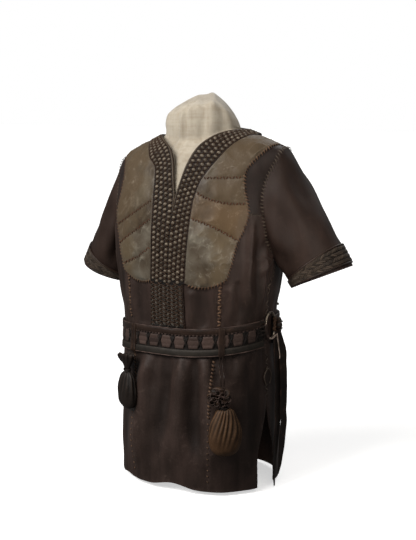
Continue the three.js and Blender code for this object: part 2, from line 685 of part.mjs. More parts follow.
// The belt's free ends are rolled into a knot behind the ring, and two tails hang from it.
const KNOT = { x: 185.2, y: 8.5, z: 346, halfHeight: 17, radius: 6.2, depth: 6.2 };
function knotSolid() {
  const rows = 9;
  const sides = 14;
  const points = [];
  for (let j = 0; j <= rows; j += 1) {
    const v = (j / rows) * 2 - 1;
    const swell = Math.sqrt(1 - (0.93 * v) ** 2);
    for (let k = 0; k < sides; k += 1) {
      const turn = (2 * Math.PI * k) / sides;
      points.push(new THREE.Vector3(
        KNOT.x + KNOT.radius * swell * Math.cos(turn),
        KNOT.y + KNOT.depth * swell * Math.sin(turn),
        KNOT.z + KNOT.halfHeight * v,
      ));
    }
  }
  const faces = [];
  for (let j = 0; j < rows; j += 1) {
    for (let k = 0; k < sides; k += 1) {
      const side = (k + 1) % sides;
      faces.push([j * sides + k, j * sides + side, (j + 1) * sides + side, (j + 1) * sides + k]);
    }
  }
  faces.push(Array.from({ length: sides }, (_, k) => sides - 1 - k));
  faces.push(Array.from({ length: sides }, (_, k) => rows * sides + k));
  return solidOf(points, faces);
}
add('belt_knot', knotSolid(), 'belt_leather');

// A flat tail along a short list of points, from the knot down to a pointed tip.
const TAIL = { width: 17, wall: 2.6 };
const TAILS = [
  {
    name: 'belt_tail_rear',
    turn: 62,
    path: [[188.3, 12, 328.8], [191.3, 12.5, 300], [193.8, 11.5, 262], [195.3, 11, 215], [195.8, 10.5, 165],
      [194.6, 10, 110], [191.5, 8.5, 68], [187.5, 6, 26]],
  },
  {
    name: 'belt_tail_front',
    turn: 80,
    path: [[182, 3.4, 328.8], [182.5, 2, 300], [183.5, 2.5, 262], [184, 2, 215], [184.5, 1.5, 165],
      [185.5, 0, 110], [184.5, -8, 55], [187, -12, 5.5]],
  },
];
for (const { name, turn, path } of TAILS) {
  const curve = new THREE.CatmullRomCurve3(path.map((p) => new THREE.Vector3(...p)));
  const side = new THREE.Vector3(Math.cos(rad(turn)), Math.sin(rad(turn)), 0);
  const face = new THREE.Vector3(Math.sin(rad(turn)), -Math.cos(rad(turn)), 0);
  const strap = (u, v, out) => {
    const t = 1 - v;
    const taper = t < 0.75 ? 1 : mix(1, 0.12, ((t - 0.75) / 0.25) ** 1.6);
    const start = mix(0.6, 1, clamp(t / 0.12, 0, 1));
    return curve.getPoint(t).addScaledVector(side, TAIL.width * taper * start * (u - 0.5))
      .addScaledVector(face, out);
  };
  leather(name, 'belt_leather', {
    from: -TAIL.wall / 2,
    to: TAIL.wall / 2,
    surface: strap,
    across: 2,
    up: 22,
    place: (u, v) => [u, v],
  });
}

// ---------------------------------------------------------------- pouches
const THONG = 1.4;        // radius of a pouch's thong

// A gathered bag: a turned shape, flattened towards the body and turned to face outwards.
function turned(name, slot, profile, { phi, h, out, flat }, aside = 0) {
  const normal = bodyNormal(phi, h);
  const turn = Math.atan2(normal.x, -normal.y);
  const axis = onBody(phi, h, out).add(new THREE.Vector3(-Math.cos(turn), -Math.sin(turn), 0).multiplyScalar(aside));
  const lathe = new THREE.LatheGeometry(profile.map(([r, z]) => new THREE.Vector2(r, z)), 18);
  lathe.rotateX(Math.PI / 2);
  lathe.scale(1, flat, 1);
  lathe.rotateZ(turn);
  lathe.translate(axis.x, axis.y, 0);
  add(name, lathe, slot);
  return axis.setZ(profile.at(-1)[1]);
}
const POUCHES = [
  {
    name: 'front_pouch',
    slot: 'pouch_leather',
    frill: 'belt_leather',
    hangs: { phi: -48.6, h: 140, out: 24.8, flat: 0.66 },
    bag: [[0, 95], [16, 97], [26, 105], [32, 119], [33.5, 136], [31, 156], [24, 175], [15, 190], [0, 195]],
    ruffle: [[0, 195.3], [12, 195.3], [22, 205], [24, 217], [20, 230], [12, 238], [0, 238]],
    aside: 12,
  },
  {
    name: 'side_pouch',
    slot: 'belt_leather',
    frill: 'belt_leather',
    hangs: { phi: -122.5, h: 200, out: 15.6, flat: 0.55 },
    bag: [[0, 163], [15, 165], [24, 176], [27, 194], [24, 216], [15, 238], [0, 246]],
    ruffle: [[0, 246.3], [7, 246.3], [13, 256], [20, 270], [22, 281], [21.5, 283.3], [0, 283.3]],
    aside: 0,
  },
];
const pouchTop = {};
for (const { name, slot, frill, hangs, bag, ruffle, aside } of POUCHES) {
  turned(`${name}_bag`, slot, bag, hangs);
  pouchTop[name] = turned(`${name}_ruffle`, frill, ruffle, hangs, aside);
}

// Two thongs run from the foot of the front hanger to the ruffle.
const [FRONT_HANGER] = HANGERS;
for (const [side, spread] of [['left', 1], ['right', -1]]) {
  const foot = hangerFoot(FRONT_HANGER) - SEAM;
  const start = onBody(FRONT_HANGER.phi + 0.9 * spread, foot, HANGER_FACE + TRIM / 2);
  const end = pouchTop.front_pouch.clone().add(new THREE.Vector3(5 + 2.4 * spread, 4 + 1.6 * spread, SEAM));
  const drop = start.z - end.z;
  const path = [start, start.clone().add(new THREE.Vector3(0.8 * spread, -2, -0.3 * drop)),
    end.clone().add(new THREE.Vector3(spread, 0, 0.3 * drop)), end];
  const octagon = new THREE.Shape(Array.from({ length: 8 }, (_, k) => {
    const turn = (2 * Math.PI * (k + 0.5)) / 8;
    return new THREE.Vector2(THONG * Math.cos(turn), THONG * Math.sin(turn));
  }));
  add(`front_thong_${side}`, new THREE.ExtrudeGeometry(octagon, {
    steps: 10, extrudePath: new THREE.CatmullRomCurve3(path), bevelEnabled: false,
  }), 'belt_leather');
}

// ---------------------------------------------------------------- dress form and stand
function manifoldOf(geometry) {
  const bare = geometry.clone();
  bare.deleteAttribute('normal');
  bare.deleteAttribute('uv');
  const merged = mergeVertices(bare, 1e-3);
  const corners = [];
  const list = merged.index.array;
  for (let i = 0; i < list.length; i += 3) {
    const corner = [list[i], list[i + 1], list[i + 2]];
    if (new Set(corner).size === 3) corners.push(...corner);
  }
  return new wasm.Manifold(new wasm.Mesh({
    numProp: 3,
    vertProperties: new Float32Array(merged.attributes.position.array),
    triVerts: new Uint32Array(corners),
  }));
}

function loft(rings, closeTop) {
  const sides = rings[0].length;
  const points = rings.flat();
  const faces = [];
  for (let j = 0; j < rings.length - 1; j += 1) {
    for (let k = 0; k < sides; k += 1) {
      const next = (k + 1) % sides;
      faces.push([j * sides + k, j * sides + next, (j + 1) * sides + next, (j + 1) * sides + k]);
    }
  }
  const cap = (row, reverse) => {
    const centre = rings[row].reduce((sum, p) => sum.add(p), new THREE.Vector3()).divideScalar(sides);
    points.push(centre);
    for (let k = 0; k < sides; k += 1) {
      const pair = [row * sides + k, row * sides + ((k + 1) % sides)];
      if (reverse) pair.reverse();
      faces.push([...pair, points.length - 1]);
    }
  };
  cap(0, true);
  if (closeTop) cap(rings.length - 1, false);
  return solidOf(points, faces);
}

// The form's torso is the body surface drawn in, most at the chest and least at the shoulder.
function formPoint(phi, h) {
  const s = section(h);
  const air = h <= UNDERARM
    ? mix(FORM.waistAir, FORM.bodyAir, smooth(clamp(Math.abs(h - 330) / 120, 0, 1)))
    : mix(FORM.bodyAir, FORM.waistAir, s.w);
  const width = h <= UNDERARM ? s.width - air
    : mix(column(BODY, 'z', 'width', UNDERARM) - FORM.bodyAir, FORM.topWidth, s.w ** TOP.widen);
  const depth = Math.max(s.depth - air * Math.min(1, s.depth / 60), 0);
  const c = Math.cos(rad(phi));
  const d = Math.sin(rad(phi));
  const radius = (Math.abs(c) ** PLUMPNESS + Math.abs(d) ** PLUMPNESS) ** (-1 / PLUMPNESS);
  const x = width * radius * c;
  const line = shoulderLine(x, FORM.neckBase) - FORM.shoulderAir;
  return new THREE.Vector3(x, s.centre + depth * radius * d, s.low + (line - UNDERARM) * s.rise);
}
function dressForm() {
  const sides = 32;
  const heights = [FORM.bottom, 290, 335, 380, 430, ...UPPER_ROWS];
  const rings = heights.map((h) => Array.from({ length: sides }, (_, k) => formPoint((360 * k) / sides, h)));
  const neck = NECK_RINGS.map(({ z, rx, ry, tilt }) => Array.from({ length: sides }, (_, k) => {
    const turn = (2 * Math.PI * k) / sides;
    const y = ry * Math.sin(turn);
    return new THREE.Vector3(rx * Math.cos(turn), NECK_CENTRE + y, z + tilt * y);
  }));
  const whole = manifoldOf(loft(rings, false)).add(manifoldOf(loft(neck, true)));
  const { vertProperties, triVerts } = whole.getMesh();
  return geometryOf(Array.from(vertProperties), Array.from(triVerts));
}
add('dress_form', dressForm(), 'linen');

function standStem() {
  const top = FORM.bottom - SEAM;
  const foot = BASE.thickness + SEAM;
  const profile = [[0, foot], [26, foot], [26, foot + 8], [11, foot + 12], [11, top - 14], [38, top - 8],
    [38, top], [0, top]];
  const stem = new THREE.LatheGeometry(profile.map(([r, z]) => new THREE.Vector2(r, z)), 20);
  stem.rotateX(Math.PI / 2);
  return stem;
}
add('stand_stem', standStem(), 'stand_paint');

function standBase() {
  const outline = new THREE.Shape();
  const bevel = 1.2;
  outline.absellipse(0, 0, BASE.halfWidth - bevel, BASE.halfDepth - bevel, 0, 2 * Math.PI);
  const plate = new THREE.ExtrudeGeometry(outline, {
    depth: BASE.thickness - 2 * bevel,
    bevelEnabled: true,
    bevelThickness: bevel,
    bevelSize: bevel,
    bevelSegments: 1,
    curveSegments: 18,
  });
  plate.translate(0, 0, bevel);
  return plate;
}
add('stand_base', standBase(), 'stand_paint');

export default tunic;
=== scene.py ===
# %% [markdown]
# # A leather tunic vest on a dress form
# The real thing is a short-sleeved tunic of thin dark leather, laced and whip-stitched together,
# with worn lighter patches on the chest, plaited leather round the neck, chest and cuffs, and a
# laced belt that carries two gathered pouches. It stands on a limbless form in linen.
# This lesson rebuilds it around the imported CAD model, which gives the frame: +Z is up, the front
# faces -Y and the wearer's left is +X. Shapes are worked out in millimetres and stored in metres.

# %% Load the frame
import json

import bpy
import numpy as np
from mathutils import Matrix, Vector

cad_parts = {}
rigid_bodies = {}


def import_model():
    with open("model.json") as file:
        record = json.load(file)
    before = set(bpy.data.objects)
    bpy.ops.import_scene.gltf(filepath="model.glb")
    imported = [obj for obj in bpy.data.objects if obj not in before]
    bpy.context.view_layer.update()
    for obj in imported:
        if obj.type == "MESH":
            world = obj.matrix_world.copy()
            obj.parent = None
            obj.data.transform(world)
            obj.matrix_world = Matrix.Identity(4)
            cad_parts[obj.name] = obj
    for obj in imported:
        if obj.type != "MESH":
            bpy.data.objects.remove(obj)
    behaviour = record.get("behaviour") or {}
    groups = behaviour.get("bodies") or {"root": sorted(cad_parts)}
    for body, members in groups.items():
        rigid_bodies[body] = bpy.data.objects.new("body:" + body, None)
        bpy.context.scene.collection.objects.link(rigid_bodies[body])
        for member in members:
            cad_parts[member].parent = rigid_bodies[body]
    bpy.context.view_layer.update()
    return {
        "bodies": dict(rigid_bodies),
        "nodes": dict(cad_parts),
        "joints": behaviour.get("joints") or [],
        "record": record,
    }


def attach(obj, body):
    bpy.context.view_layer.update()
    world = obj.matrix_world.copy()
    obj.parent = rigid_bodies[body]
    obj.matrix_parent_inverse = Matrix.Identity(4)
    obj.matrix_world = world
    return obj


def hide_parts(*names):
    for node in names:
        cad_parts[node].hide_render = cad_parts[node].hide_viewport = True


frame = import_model()
MM = 0.001

# %% [markdown]
# ## Camera
# The camera stands at the height of a standing viewer's chest, to the wearer's left of the front,
# and far enough away for the sides to stay nearly parallel. It is placed by turning a distance
# round a target, because the same two angles then describe every other view.

# %% Camera
AZIMUTH, ELEVATION, DISTANCE, LENS = 30, 9, 2.4, 75
TARGET = Vector((0.0147, 0.0085, 0.448))


def cos_sin(degrees):
    return np.cos(np.radians(degrees)), np.sin(np.radians(degrees))


def direction(azimuth, elevation):
    """(sin azimuth cos elevation, -cos azimuth cos elevation, sin elevation), from the target outwards."""
    (east, north), (level, up) = cos_sin(azimuth), cos_sin(elevation)
    return Vector((north * level, -east * level, up))


def placed(name, data):
    """A new object in the scene."""
    made = bpy.data.objects.new(name, data)
    bpy.context.scene.collection.objects.link(made)
    return made


def aimed(data, way, place):
    """A camera or a lamp at a place, facing back along the direction way."""
    made = placed(data.name, data)
    made.location = place
    made.rotation_euler = way.to_track_quat("Z", "Y").to_euler()
    return made


def place_camera():
    """Eye = target + distance * direction(azimuth, elevation)."""
    data = bpy.data.cameras.new("camera")
    data.lens, data.sensor_width, data.sensor_fit = LENS, 36, "AUTO"
    way = direction(AZIMUTH, ELEVATION)
    camera = aimed(data, way, TARGET + DISTANCE * way)
    bpy.context.scene.camera = camera
    return camera


print("camera at", [round(v, 3) for v in place_camera().location])

# %% [markdown]
# ## Two thongs
# The front pouch hangs from its loop on two thin leather thongs. They are real cords: limp, 2.8 mm
# thick and about 66 mm long, from the foot of the loop down into the pouch's frill. A curve of one
# spline with a round bevel is the plainest way to make such a cord, and it keeps its centreline.

# %% Thongs
THONG_RADIUS = 0.0014
THONG_ROUTES = {
    "front_thong_left": [(0.11594, -0.10736, 0.29336), (0.11674, -0.10936, 0.27684),
                         (0.1311, -0.12764, 0.25482), (0.1301, -0.12764, 0.2383)],
    "front_thong_right": [(0.11137, -0.11001, 0.29337), (0.11057, -0.11201, 0.27685),
                          (0.1243, -0.13084, 0.25482), (0.1253, -0.13084, 0.2383)],
}


def smooth_curve(knots, values):
    """A cubic through the points (knots, values). The slope at a point is the mean of the two chords
    beside it, each weighted by the length of the other."""
    knots, values = np.asarray(knots, float), np.asarray(values, float)
    length = np.diff(knots).reshape(-1, *[1] * (values.ndim - 1))
    chord = np.diff(values, axis=0) / length
    inner = (chord[:-1] * length[1:] + chord[1:] * length[:-1]) / (length[:-1] + length[1:])
    slope = np.concatenate([chord[:1], inner, chord[-1:]])

    def at(x):
        x = np.clip(np.asarray(x, float), knots[0], knots[-1])
        i = np.clip(np.searchsorted(knots, x, side="right") - 1, 0, len(knots) - 2)
        t = ((x - knots[i]) / (knots[i + 1] - knots[i])).reshape(*x.shape, *[1] * (values.ndim - 1))
        span = length[i].reshape(t.shape)
        return ((2 * t**3 - 3 * t**2 + 1) * values[i] + (t**3 - 2 * t**2 + t) * span * slope[i]
                + (3 * t**2 - 2 * t**3) * values[i + 1] + (t**3 - t**2) * span * slope[i + 1])

    return at


def distance_along(line):
    """The way covered from a line's first point to each of its points."""
    return np.concatenate([[0], np.cumsum(np.linalg.norm(np.diff(line, axis=0), axis=1))])


def at_distance(stops, run, line):
    """The points of a line at given distances along it."""
    return np.stack([np.interp(stops, run, line[:, k]) for k in range(3)], axis=1)


def through_points(points, count):
    """count points, evenly spaced along the smooth curve through a few points (knots at chord lengths)."""
    points = np.asarray(points, float)
    knots = distance_along(points)
    fine = smooth_curve(knots, points)(np.linspace(0, knots[-1], 20 * count))
    run = distance_along(fine)
    return at_distance(np.linspace(0, run[-1], count), run, fine)


def thong(name, route):
    """A round curve object along the route; its length is the sum of its steps. Its points carry the
    radius, because a curve's box reaches out by that much."""
    points = through_points(route, 24)
    data = bpy.data.curves.new(name, "CURVE")
    data.dimensions, data.bevel_depth, data.bevel_resolution, data.use_fill_caps = "3D", 1.0, 3, True
    spline = data.splines.new("POLY")
    spline.points.add(len(points) - 1)
    spline.points.foreach_set("co", np.hstack([points, np.ones((len(points), 1))]).ravel())
    spline.points.foreach_set("radius", np.full(len(points), THONG_RADIUS))
    cord = placed(name + "_cord", data)
    length = float(distance_along(points)[-1])
    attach(cord, "root")
    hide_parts(name)
    print(name, "length", round(length, 4), "m")
    return cord


thongs_hanging = [thong(name, route) for name, route in THONG_ROUTES.items()]

# %% [markdown]
# ## The body surface
# Every piece of leather lies on one smooth surface: rounded sections below the arm, and above it a
# section that widens, thins and closes on the shoulder seam. A piece is then only a range of angle
# and height on that surface, moved out along its normal, so neighbours fit with no adjusting.

# %% Body surface
UNDERARM, SHOULDER, YOKE_SEAM, NECK_START, SLIT_TOP = 488.0, 751.0, 551.0, 560.0, 195.0
ROUNDNESS = 2.25
BODY = np.array([  # height, half width, half depth, y of the centre
    (0, 174, 138, 0), (140, 173, 136, 0), (260, 170, 130, 0), (335, 168, 125, 0),
    (400, 172, 128, 0), (450, 178, 133, 1), (488, 184, 136, 2)], float)
body_size = smooth_curve(BODY[:, 0], BODY[:, 1:])


def mix(a, b, t):
    return a + (b - a) * t


def smooth(t):
    """3 t squared - 2 t cubed, with t held between 0 and 1."""
    t = np.clip(t, 0, 1)
    return t * t * (3 - 2 * t)


def bell(distance, width):
    """exp(-(distance / width)^2)."""
    return np.exp(-((distance / width) ** 2))


def xyz(x, y, z):
    """Points from three arrays or numbers."""
    return np.stack(np.broadcast_arrays(x, y, z), axis=-1)


NECK_POINT, TIP_POINT, SHOULDER_WIDTH, SHOULDER_LEAN = 737, 698, 95, 0.077


def shoulder_line(x, flat_within=0.0):
    """Height of the shoulder seam: it falls 39 mm in 95 mm, and the left side is a little higher."""
    fall = (NECK_POINT - TIP_POINT) / SHOULDER_WIDTH
    return NECK_POINT - fall * (np.maximum(np.abs(x), flat_within) - SHOULDER_WIDTH) + SHOULDER_LEAN * x


def section(h):
    """(height, share above the arm, half width, half depth, centre, rise) of the section at coordinate h."""
    low = np.minimum(h, UNDERARM)
    w = np.clip((h - UNDERARM) / (SHOULDER - UNDERARM), 0, 1)
    size = body_size(low)
    half_depth = size[..., 1] * np.maximum(np.cos(w * np.pi / 2), 0) ** 0.72
    return low, w, mix(size[..., 0], 214, w**1.2), half_depth, mix(size[..., 2], 20, w), np.sin(w * np.pi / 2) ** 0.92


def rounded(phi):
    """(x, y) on the unit superellipse |x|^N + |y|^N = 1 in the direction phi."""
    c, s = cos_sin(phi)
    reach = (np.abs(c) ** ROUNDNESS + np.abs(s) ** ROUNDNESS) ** (-1 / ROUNDNESS)
    return reach * c, reach * s


def body_point(phi, h):
    """The superellipse times the section's half sizes; above the arm, z climbs to the shoulder line by
    the section's rise."""
    low, _, width, depth, centre, rise = section(h)
    c, s = rounded(phi)
    x = width * c
    z = low + (shoulder_line(x) - UNDERARM) * rise
    return xyz(x, centre + depth * s, z)


def angle_at(x, h, face=-1):
    """The angle whose point lies at distance x from the middle, on the front (-1) or the back (+1)."""
    share = np.clip(np.abs(x) / section(h)[2], 1e-6, 1)
    angle = np.degrees(np.arctan((share**-ROUNDNESS - 1) ** (1 / ROUNDNESS)))
    return face * np.where(x >= 0, angle, 180 - angle)


def unit(v):
    return v / np.maximum(np.linalg.norm(v, axis=-1, keepdims=True), 1e-9)


def body_normal(phi, h):
    """Cross product of the steps round and up, outwards."""
    up = np.minimum(h + 0.5, SHOULDER)
    around = body_point(phi + 0.5, h) - body_point(phi - 0.5, h)
    return unit(np.cross(around, body_point(phi, up) - body_point(phi, h - 0.5)))


print("half girth at the chest: %.0f mm" % distance_along(body_point(np.linspace(0, 180, 300), 480.0))[-1])

# %% [markdown]
# ## Drape
# Leather hangs in soft, uneven troughs and ridges: gathers under and over the belt, long folds in
# the skirt, drag lines at the armholes. A cloth simulation gives no say in where these fall, so
# they are listed one by one, each as a line in angle and height with a width and a depth. One field
# moves every piece, so patches, braids and belt stay on the panels under them.

# %% Belt line and noise
BELT_HALF, BELT_EDGE = 29.0, 14.0


def belt_middle(phi):
    """322 + 14 cos|cos| + 5 sin: the belt rises at the wearer's left and is lowest at the right."""
    c, s = cos_sin(phi)
    return 322 + 14 * c * np.abs(c) + 5 * s


def soft_noise(points, size, seed, waves=22):
    """Mean of plane waves in random directions with wavelengths near size, scaled to about -1 to 1."""
    draw = np.random.default_rng(seed)
    way = unit(draw.normal(size=(waves, 3))) * (2 * np.pi / (size * draw.uniform(0.7, 1.6, (waves, 1))))
    phase = draw.uniform(0, 2 * np.pi, waves)
    total = np.zeros(points.shape[:-1])
    for direction, offset in zip(way, phase):
        total += np.cos(points @ direction + offset)
    return total * (1.3 / np.sqrt(waves))


# %% Creases
MM_PER_DEGREE = 2.8
SKIRT = [  # (angle, height) start, (angle, height) end, width, spread, depth: a trough is negative
    (-90.5, 292, -95.5, 60, 8, 1.9, -7), (-71, 293, -68, 70, 9, 2.0, -10), (-81, 290, -79, 20, 15, 0.9, 9),
    (-106, 290, -122, 14, 15, 1.0, 11), (-132, 290, -141, 40, 14, 1.0, -6), (-61, 292, -59, 20, 13, 0.9, 8.5),
    (-118, 292, -131, 120, 8, 1.4, -4), (-43, 290, -38, 20, 30, 0.3, 7), (-100, 290, -103, 200, 6, 1.0, -2.6),
    (-83, 292, -84, 235, 5, 0.8, -2.2), (-56, 292, -55, 235, 5, 0.8, -2.4), (-29, 296, -25, 60, 12, 1.2, -5),
    (18, 298, 24, 50, 12, 1.3, -6), (36, 296, 38, 20, 20, 0.7, 6), (57, 294, 53, 40, 11, 1.6, -9),
    (74, 292, 73, 20, 20, 0.7, 6), (91, 292, 94, 40, 10, 1.8, -9), (109, 292, 108, 20, 22, 0.6, 6),
    (127, 292, 132, 40, 11, 1.6, -9), (146, 290, 150, 20, 20, 0.7, 6), (166, 290, 162, 60, 12, 1.2, -6)]
BODICE = [
    (-34, 545, -29, 372, 7, 0.2, 3.4), (-26, 520, -22, 385, 7, 0.2, -3.2), (-40, 450, -36, 372, 6, 0.2, -2.6),
    (-17, 505, -16, 372, 6, 0.2, 3), (-47, 440, -44, 362, 8, 0.2, 2.8), (-66, 440, -64, 352, 8, 0.2, -3),
    (-73, 430, -71, 350, 8, 0.2, 2.6), (-57, 445, -55, 372, 6, 0.2, 1.8), (-146, 545, -151, 366, 7, 0.2, 3.2),
    (-154, 520, -158, 372, 7, 0.2, -3), (-113, 445, -116, 350, 8, 0.2, -3), (-123, 440, -124, 352, 8, 0.2, 2.6),
    (-138, 455, -140, 362, 7, 0.2, -2.4), (-163, 505, -164, 366, 6, 0.2, 2.6), (-8, 530, -31, 488, 5, 0.4, -2.6),
    (-4, 505, -25, 455, 6, 0.4, 2.6), (-172, 530, -149, 488, 5, 0.4, -2.6), (-176, 505, -155, 455, 6, 0.4, 2.6),
    (52, 610, 68, 470, 12, 0.5, 3), (62, 580, 84, 440, 11, 0.4, -2.8), (128, 610, 112, 470, 12, 0.5, 3),
    (118, 580, 98, 440, 11, 0.4, -2.8), (42, 520, 60, 380, 9, 0.3, -2.8), (138, 520, 121, 380, 9, 0.3, -2.8),
    (74, 470, 78, 352, 9, 0.3, 3), (106, 470, 103, 352, 9, 0.3, 3), (90, 450, 91, 352, 8, 0.3, -2.8),
    (22, 500, 30, 366, 8, 0.3, 2.6), (158, 500, 151, 366, 8, 0.3, 2.6), (48, 398, 132, 392, 10, 0.2, 2.2)]


def small_gathers(count=46, seed=7):
    """Short puckers that start at the belt's edges, at uneven places all round, up and down by turns."""
    draw = np.random.default_rng(seed)
    rows = []
    for k in range(count):
        phi = -180 + 360 * (k + draw.uniform(0.1, 0.9)) / count
        side, reach = (-1, draw.uniform(30, 75)) if k % 2 else (1, draw.uniform(20, 55))
        start = belt_middle(phi) + side * (BELT_HALF - 2)
        rows.append((phi, start, phi + draw.uniform(-2, 2), start + side * reach,
                     draw.uniform(3.5, 6.5), 0.8, draw.uniform(-2.4, -0.8)))
    return rows


BODICE_GAIN = 1.5  # the bodice's creases are listed at two thirds of their depth
CREASES = SKIRT + [(*crease[:6], BODICE_GAIN * crease[6]) for crease in BODICE] + small_gathers()


def drape(phi, h):
    """Sum of creases, each depth * exp(-(distance / width)^2) faded at both ends, and of soft noise;
    held above the form, flat under the belt and at the shoulder seam."""
    phi, h = np.broadcast_arrays((np.asarray(phi, float) + 180) % 360 - 180, np.asarray(h, float))
    total = np.zeros(phi.shape)
    for k, (phi0, h0, phi1, h1, width, spread, depth) in enumerate(CREASES):
        across, along = (phi1 - phi0) * MM_PER_DEGREE, h1 - h0
        length = np.hypot(across, along)
        dx, dh = ((phi - phi0 + 180) % 360 - 180) * MM_PER_DEGREE, h - h0
        t = (dx * across + dh * along) / length**2
        off = (dx * along - dh * across) / length + 0.3 * width * np.sin(5 * t + k)
        near = bell(off, width * (1 + spread * np.clip(t, 0, 1)))
        total += depth * near * smooth((t + 0.02) / 0.16) * smooth((1.05 - t) / 0.4)
    place = body_point(phi, h)
    total += 1.1 * soft_noise(place * [1, 1, 0.6], 95, 1) + 0.45 * soft_noise(place * [1, 1, 0.5], 34, 2)
    total *= smooth((SHOULDER + 4 - h) / 60)
    total *= smooth((np.abs(h - belt_middle(phi)) - BELT_HALF + 3) / 11)
    room = mix(3.2, 20.0, smooth((255 - h) / 60))
    room = mix(room, 0.7, smooth((h - 660) / 70))
    return np.where(total < 0, -room * np.tanh(-total / room), total)


def on_skin(phi, h, out=0.0):
    """A point of the draped surface, moved out along the body's normal."""
    shift = np.asarray(out, float) + drape(phi, h)
    return body_point(phi, h) + body_normal(phi, h) * shift[..., None]


samples = drape(*np.meshgrid(np.linspace(-180, 180, 240), np.linspace(10, 750, 240)))
print("creases:", len(CREASES), "drape from %.1f to %.1f mm" % (samples.min(), samples.max()))

# %% [markdown]
# ## Making meshes
# A piece of leather is a closed wall: the outer grid, the inner grid turned round, and a strip
# along every open edge. Small things that repeat, such as stitches and the beads of a plait, are
# all one kind: a short rounded strand from one point to another, arched away from the surface.

# %% Mesh helpers
def spread_over(values, count):
    """A mark at every point: one number for all, one face's numbers for both faces of a wall, or a
    closed form's numbers and 0 at its two poles."""
    values = np.ravel(values)
    return np.append(values, [0, 0]) if len(values) + 2 == count else np.resize(values, count)


def piece(name, shape, finish, node=None, slot="belt_leather", inside=None, sharp=50, **marks):
    """An object at the origin from (points in mm, quads); a wall's third part says which quads take the
    inside finish. marks are numbers at the points. The volume's sign says whether the faces look
    outwards; if not, they are turned."""
    points, quads = shape[0], shape[1]
    a, b, c, d = (points[quads[:, k]] for k in range(4))
    if (np.einsum("ij,ij->i", a, np.cross(b, c)) + np.einsum("ij,ij->i", a, np.cross(c, d))).sum() < 0:
        quads = quads[:, ::-1]
    mesh = bpy.data.meshes.new(name)
    mesh.vertices.add(len(points))
    mesh.vertices.foreach_set("co", (points * MM).ravel())
    same = quads[:, 3] == quads[:, 0]  # a triangle is a quad whose last point repeats its first
    size = np.where(same, 3, 4)
    loops = quads[np.arange(4) < size[:, None]]
    mesh.loops.add(len(loops))
    mesh.loops.foreach_set("vertex_index", loops)
    mesh.polygons.add(len(quads))
    mesh.polygons.foreach_set("loop_start", np.concatenate([[0], np.cumsum(size)[:-1]]))
    for mark, values in marks.items():
        numbers = spread_over(values, len(points)).astype(np.float32)
        mesh.attributes.new(mark, "FLOAT", "POINT").data.foreach_set("value", numbers)
    mesh.update(calc_edges=True)
    mesh.polygons.foreach_set("use_smooth", np.ones(len(quads), bool))
    mesh.set_sharp_from_angle(angle=np.radians(sharp))
    mesh.materials.append(finish)
    if inside:
        mesh.materials.append(inside)
        mesh.polygons.foreach_set("material_index", (shape[2] == INNER).astype(np.int32))
    made = placed(name, mesh)
    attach(made, "root")
    if node:
        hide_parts(node)
    return made


def grid_quads(columns, rows, closed=False):
    """Quads of a grid whose point (i, j) has number j * columns + i; a closed one joins its last column to
    its first."""
    i, j = np.meshgrid(np.arange(columns if closed else columns - 1), np.arange(rows - 1))
    at = lambda a, b: b * columns + a % columns
    return np.stack([at(i, j), at(i + 1, j), at(i + 1, j + 1), at(i, j + 1)], axis=-1).reshape(-1, 4)


OUTER, INNER, RIM = 0, 1, 2


def wall(outer, inner, quads):
    """Points and quads of a closed wall, and for each quad whether it is on the outer face, the inner one or
    the rim."""
    outer, inner = outer.reshape(-1, 3), inner.reshape(-1, 3)
    count = len(outer)
    edges = np.concatenate([quads[:, [k, (k + 1) % 4]] for k in range(4)])
    open_edge = edges[~np.isin(edges[:, 0] * count + edges[:, 1], edges[:, 1] * count + edges[:, 0])]
    rim = np.stack([open_edge[:, 1], open_edge[:, 0], open_edge[:, 0] + count, open_edge[:, 1] + count], axis=1)
    kinds = np.repeat([OUTER, INNER, RIM], [len(quads), len(quads), len(rim)])
    return np.concatenate([outer, inner]), np.concatenate([quads, quads[:, ::-1] + count, rim]), kinds


def grid_wall(outer, inner, closed=False):
    """The wall between two grids of points, (rows, columns, 3)."""
    return wall(outer, inner, grid_quads(outer.shape[1], outer.shape[0], closed))


def circle(count):
    """So many equal steps of angle round a circle."""
    return 2 * np.pi * np.arange(count) / count


def strands(start, end, normal, half_width, half_height, rise=0.0, sides=6):
    """Points and quads of many short strands. The middle line runs from start to end and arches by
    rise * sin(pi t); the section is an ellipse that shrinks as sqrt(1 - (0.93 (2t - 1))^2) to both ends.
    The third result is each point's strand."""
    start, end, normal = (np.asarray(v, float).reshape(-1, 3) for v in (start, end, normal))
    count, rings = len(start), 5
    t = np.linspace(0, 1, rings)
    turn, along = circle(sides), unit(end - start)
    beside = unit(np.cross(along, normal))
    shrink = np.sqrt(1 - (0.93 * (2 * t - 1)) ** 2)[None, :, None]
    wide, high = (np.broadcast_to(v, count)[:, None, None] for v in (half_width, half_height))
    arch = rise * np.sin(np.pi * t)[:, None]
    line = start[:, None] + (end - start)[:, None] * t[:, None] + normal[:, None] * arch
    ring = (line[:, :, None] + beside[:, None, None] * (wide * shrink * np.cos(turn))[..., None]
            + normal[:, None, None] * (high * shrink * np.sin(turn))[..., None])
    points = ring.reshape(-1, 3)
    one = grid_quads(sides, rings, closed=True)
    caps = [[0, 3, 2, 1], [0, 5, 4, 3]] if sides == 6 else [[0, k + 1, k, 0] for k in range(1, sides - 1)]
    top = np.array([list(reversed(face)) for face in caps]) + (rings - 1) * sides
    one = np.concatenate([one, np.array(caps), top])
    quads = (one[None] + (np.arange(count) * rings * sides)[:, None, None]).reshape(-1, 4)
    return points, quads, np.repeat(np.arange(count), rings * sides)


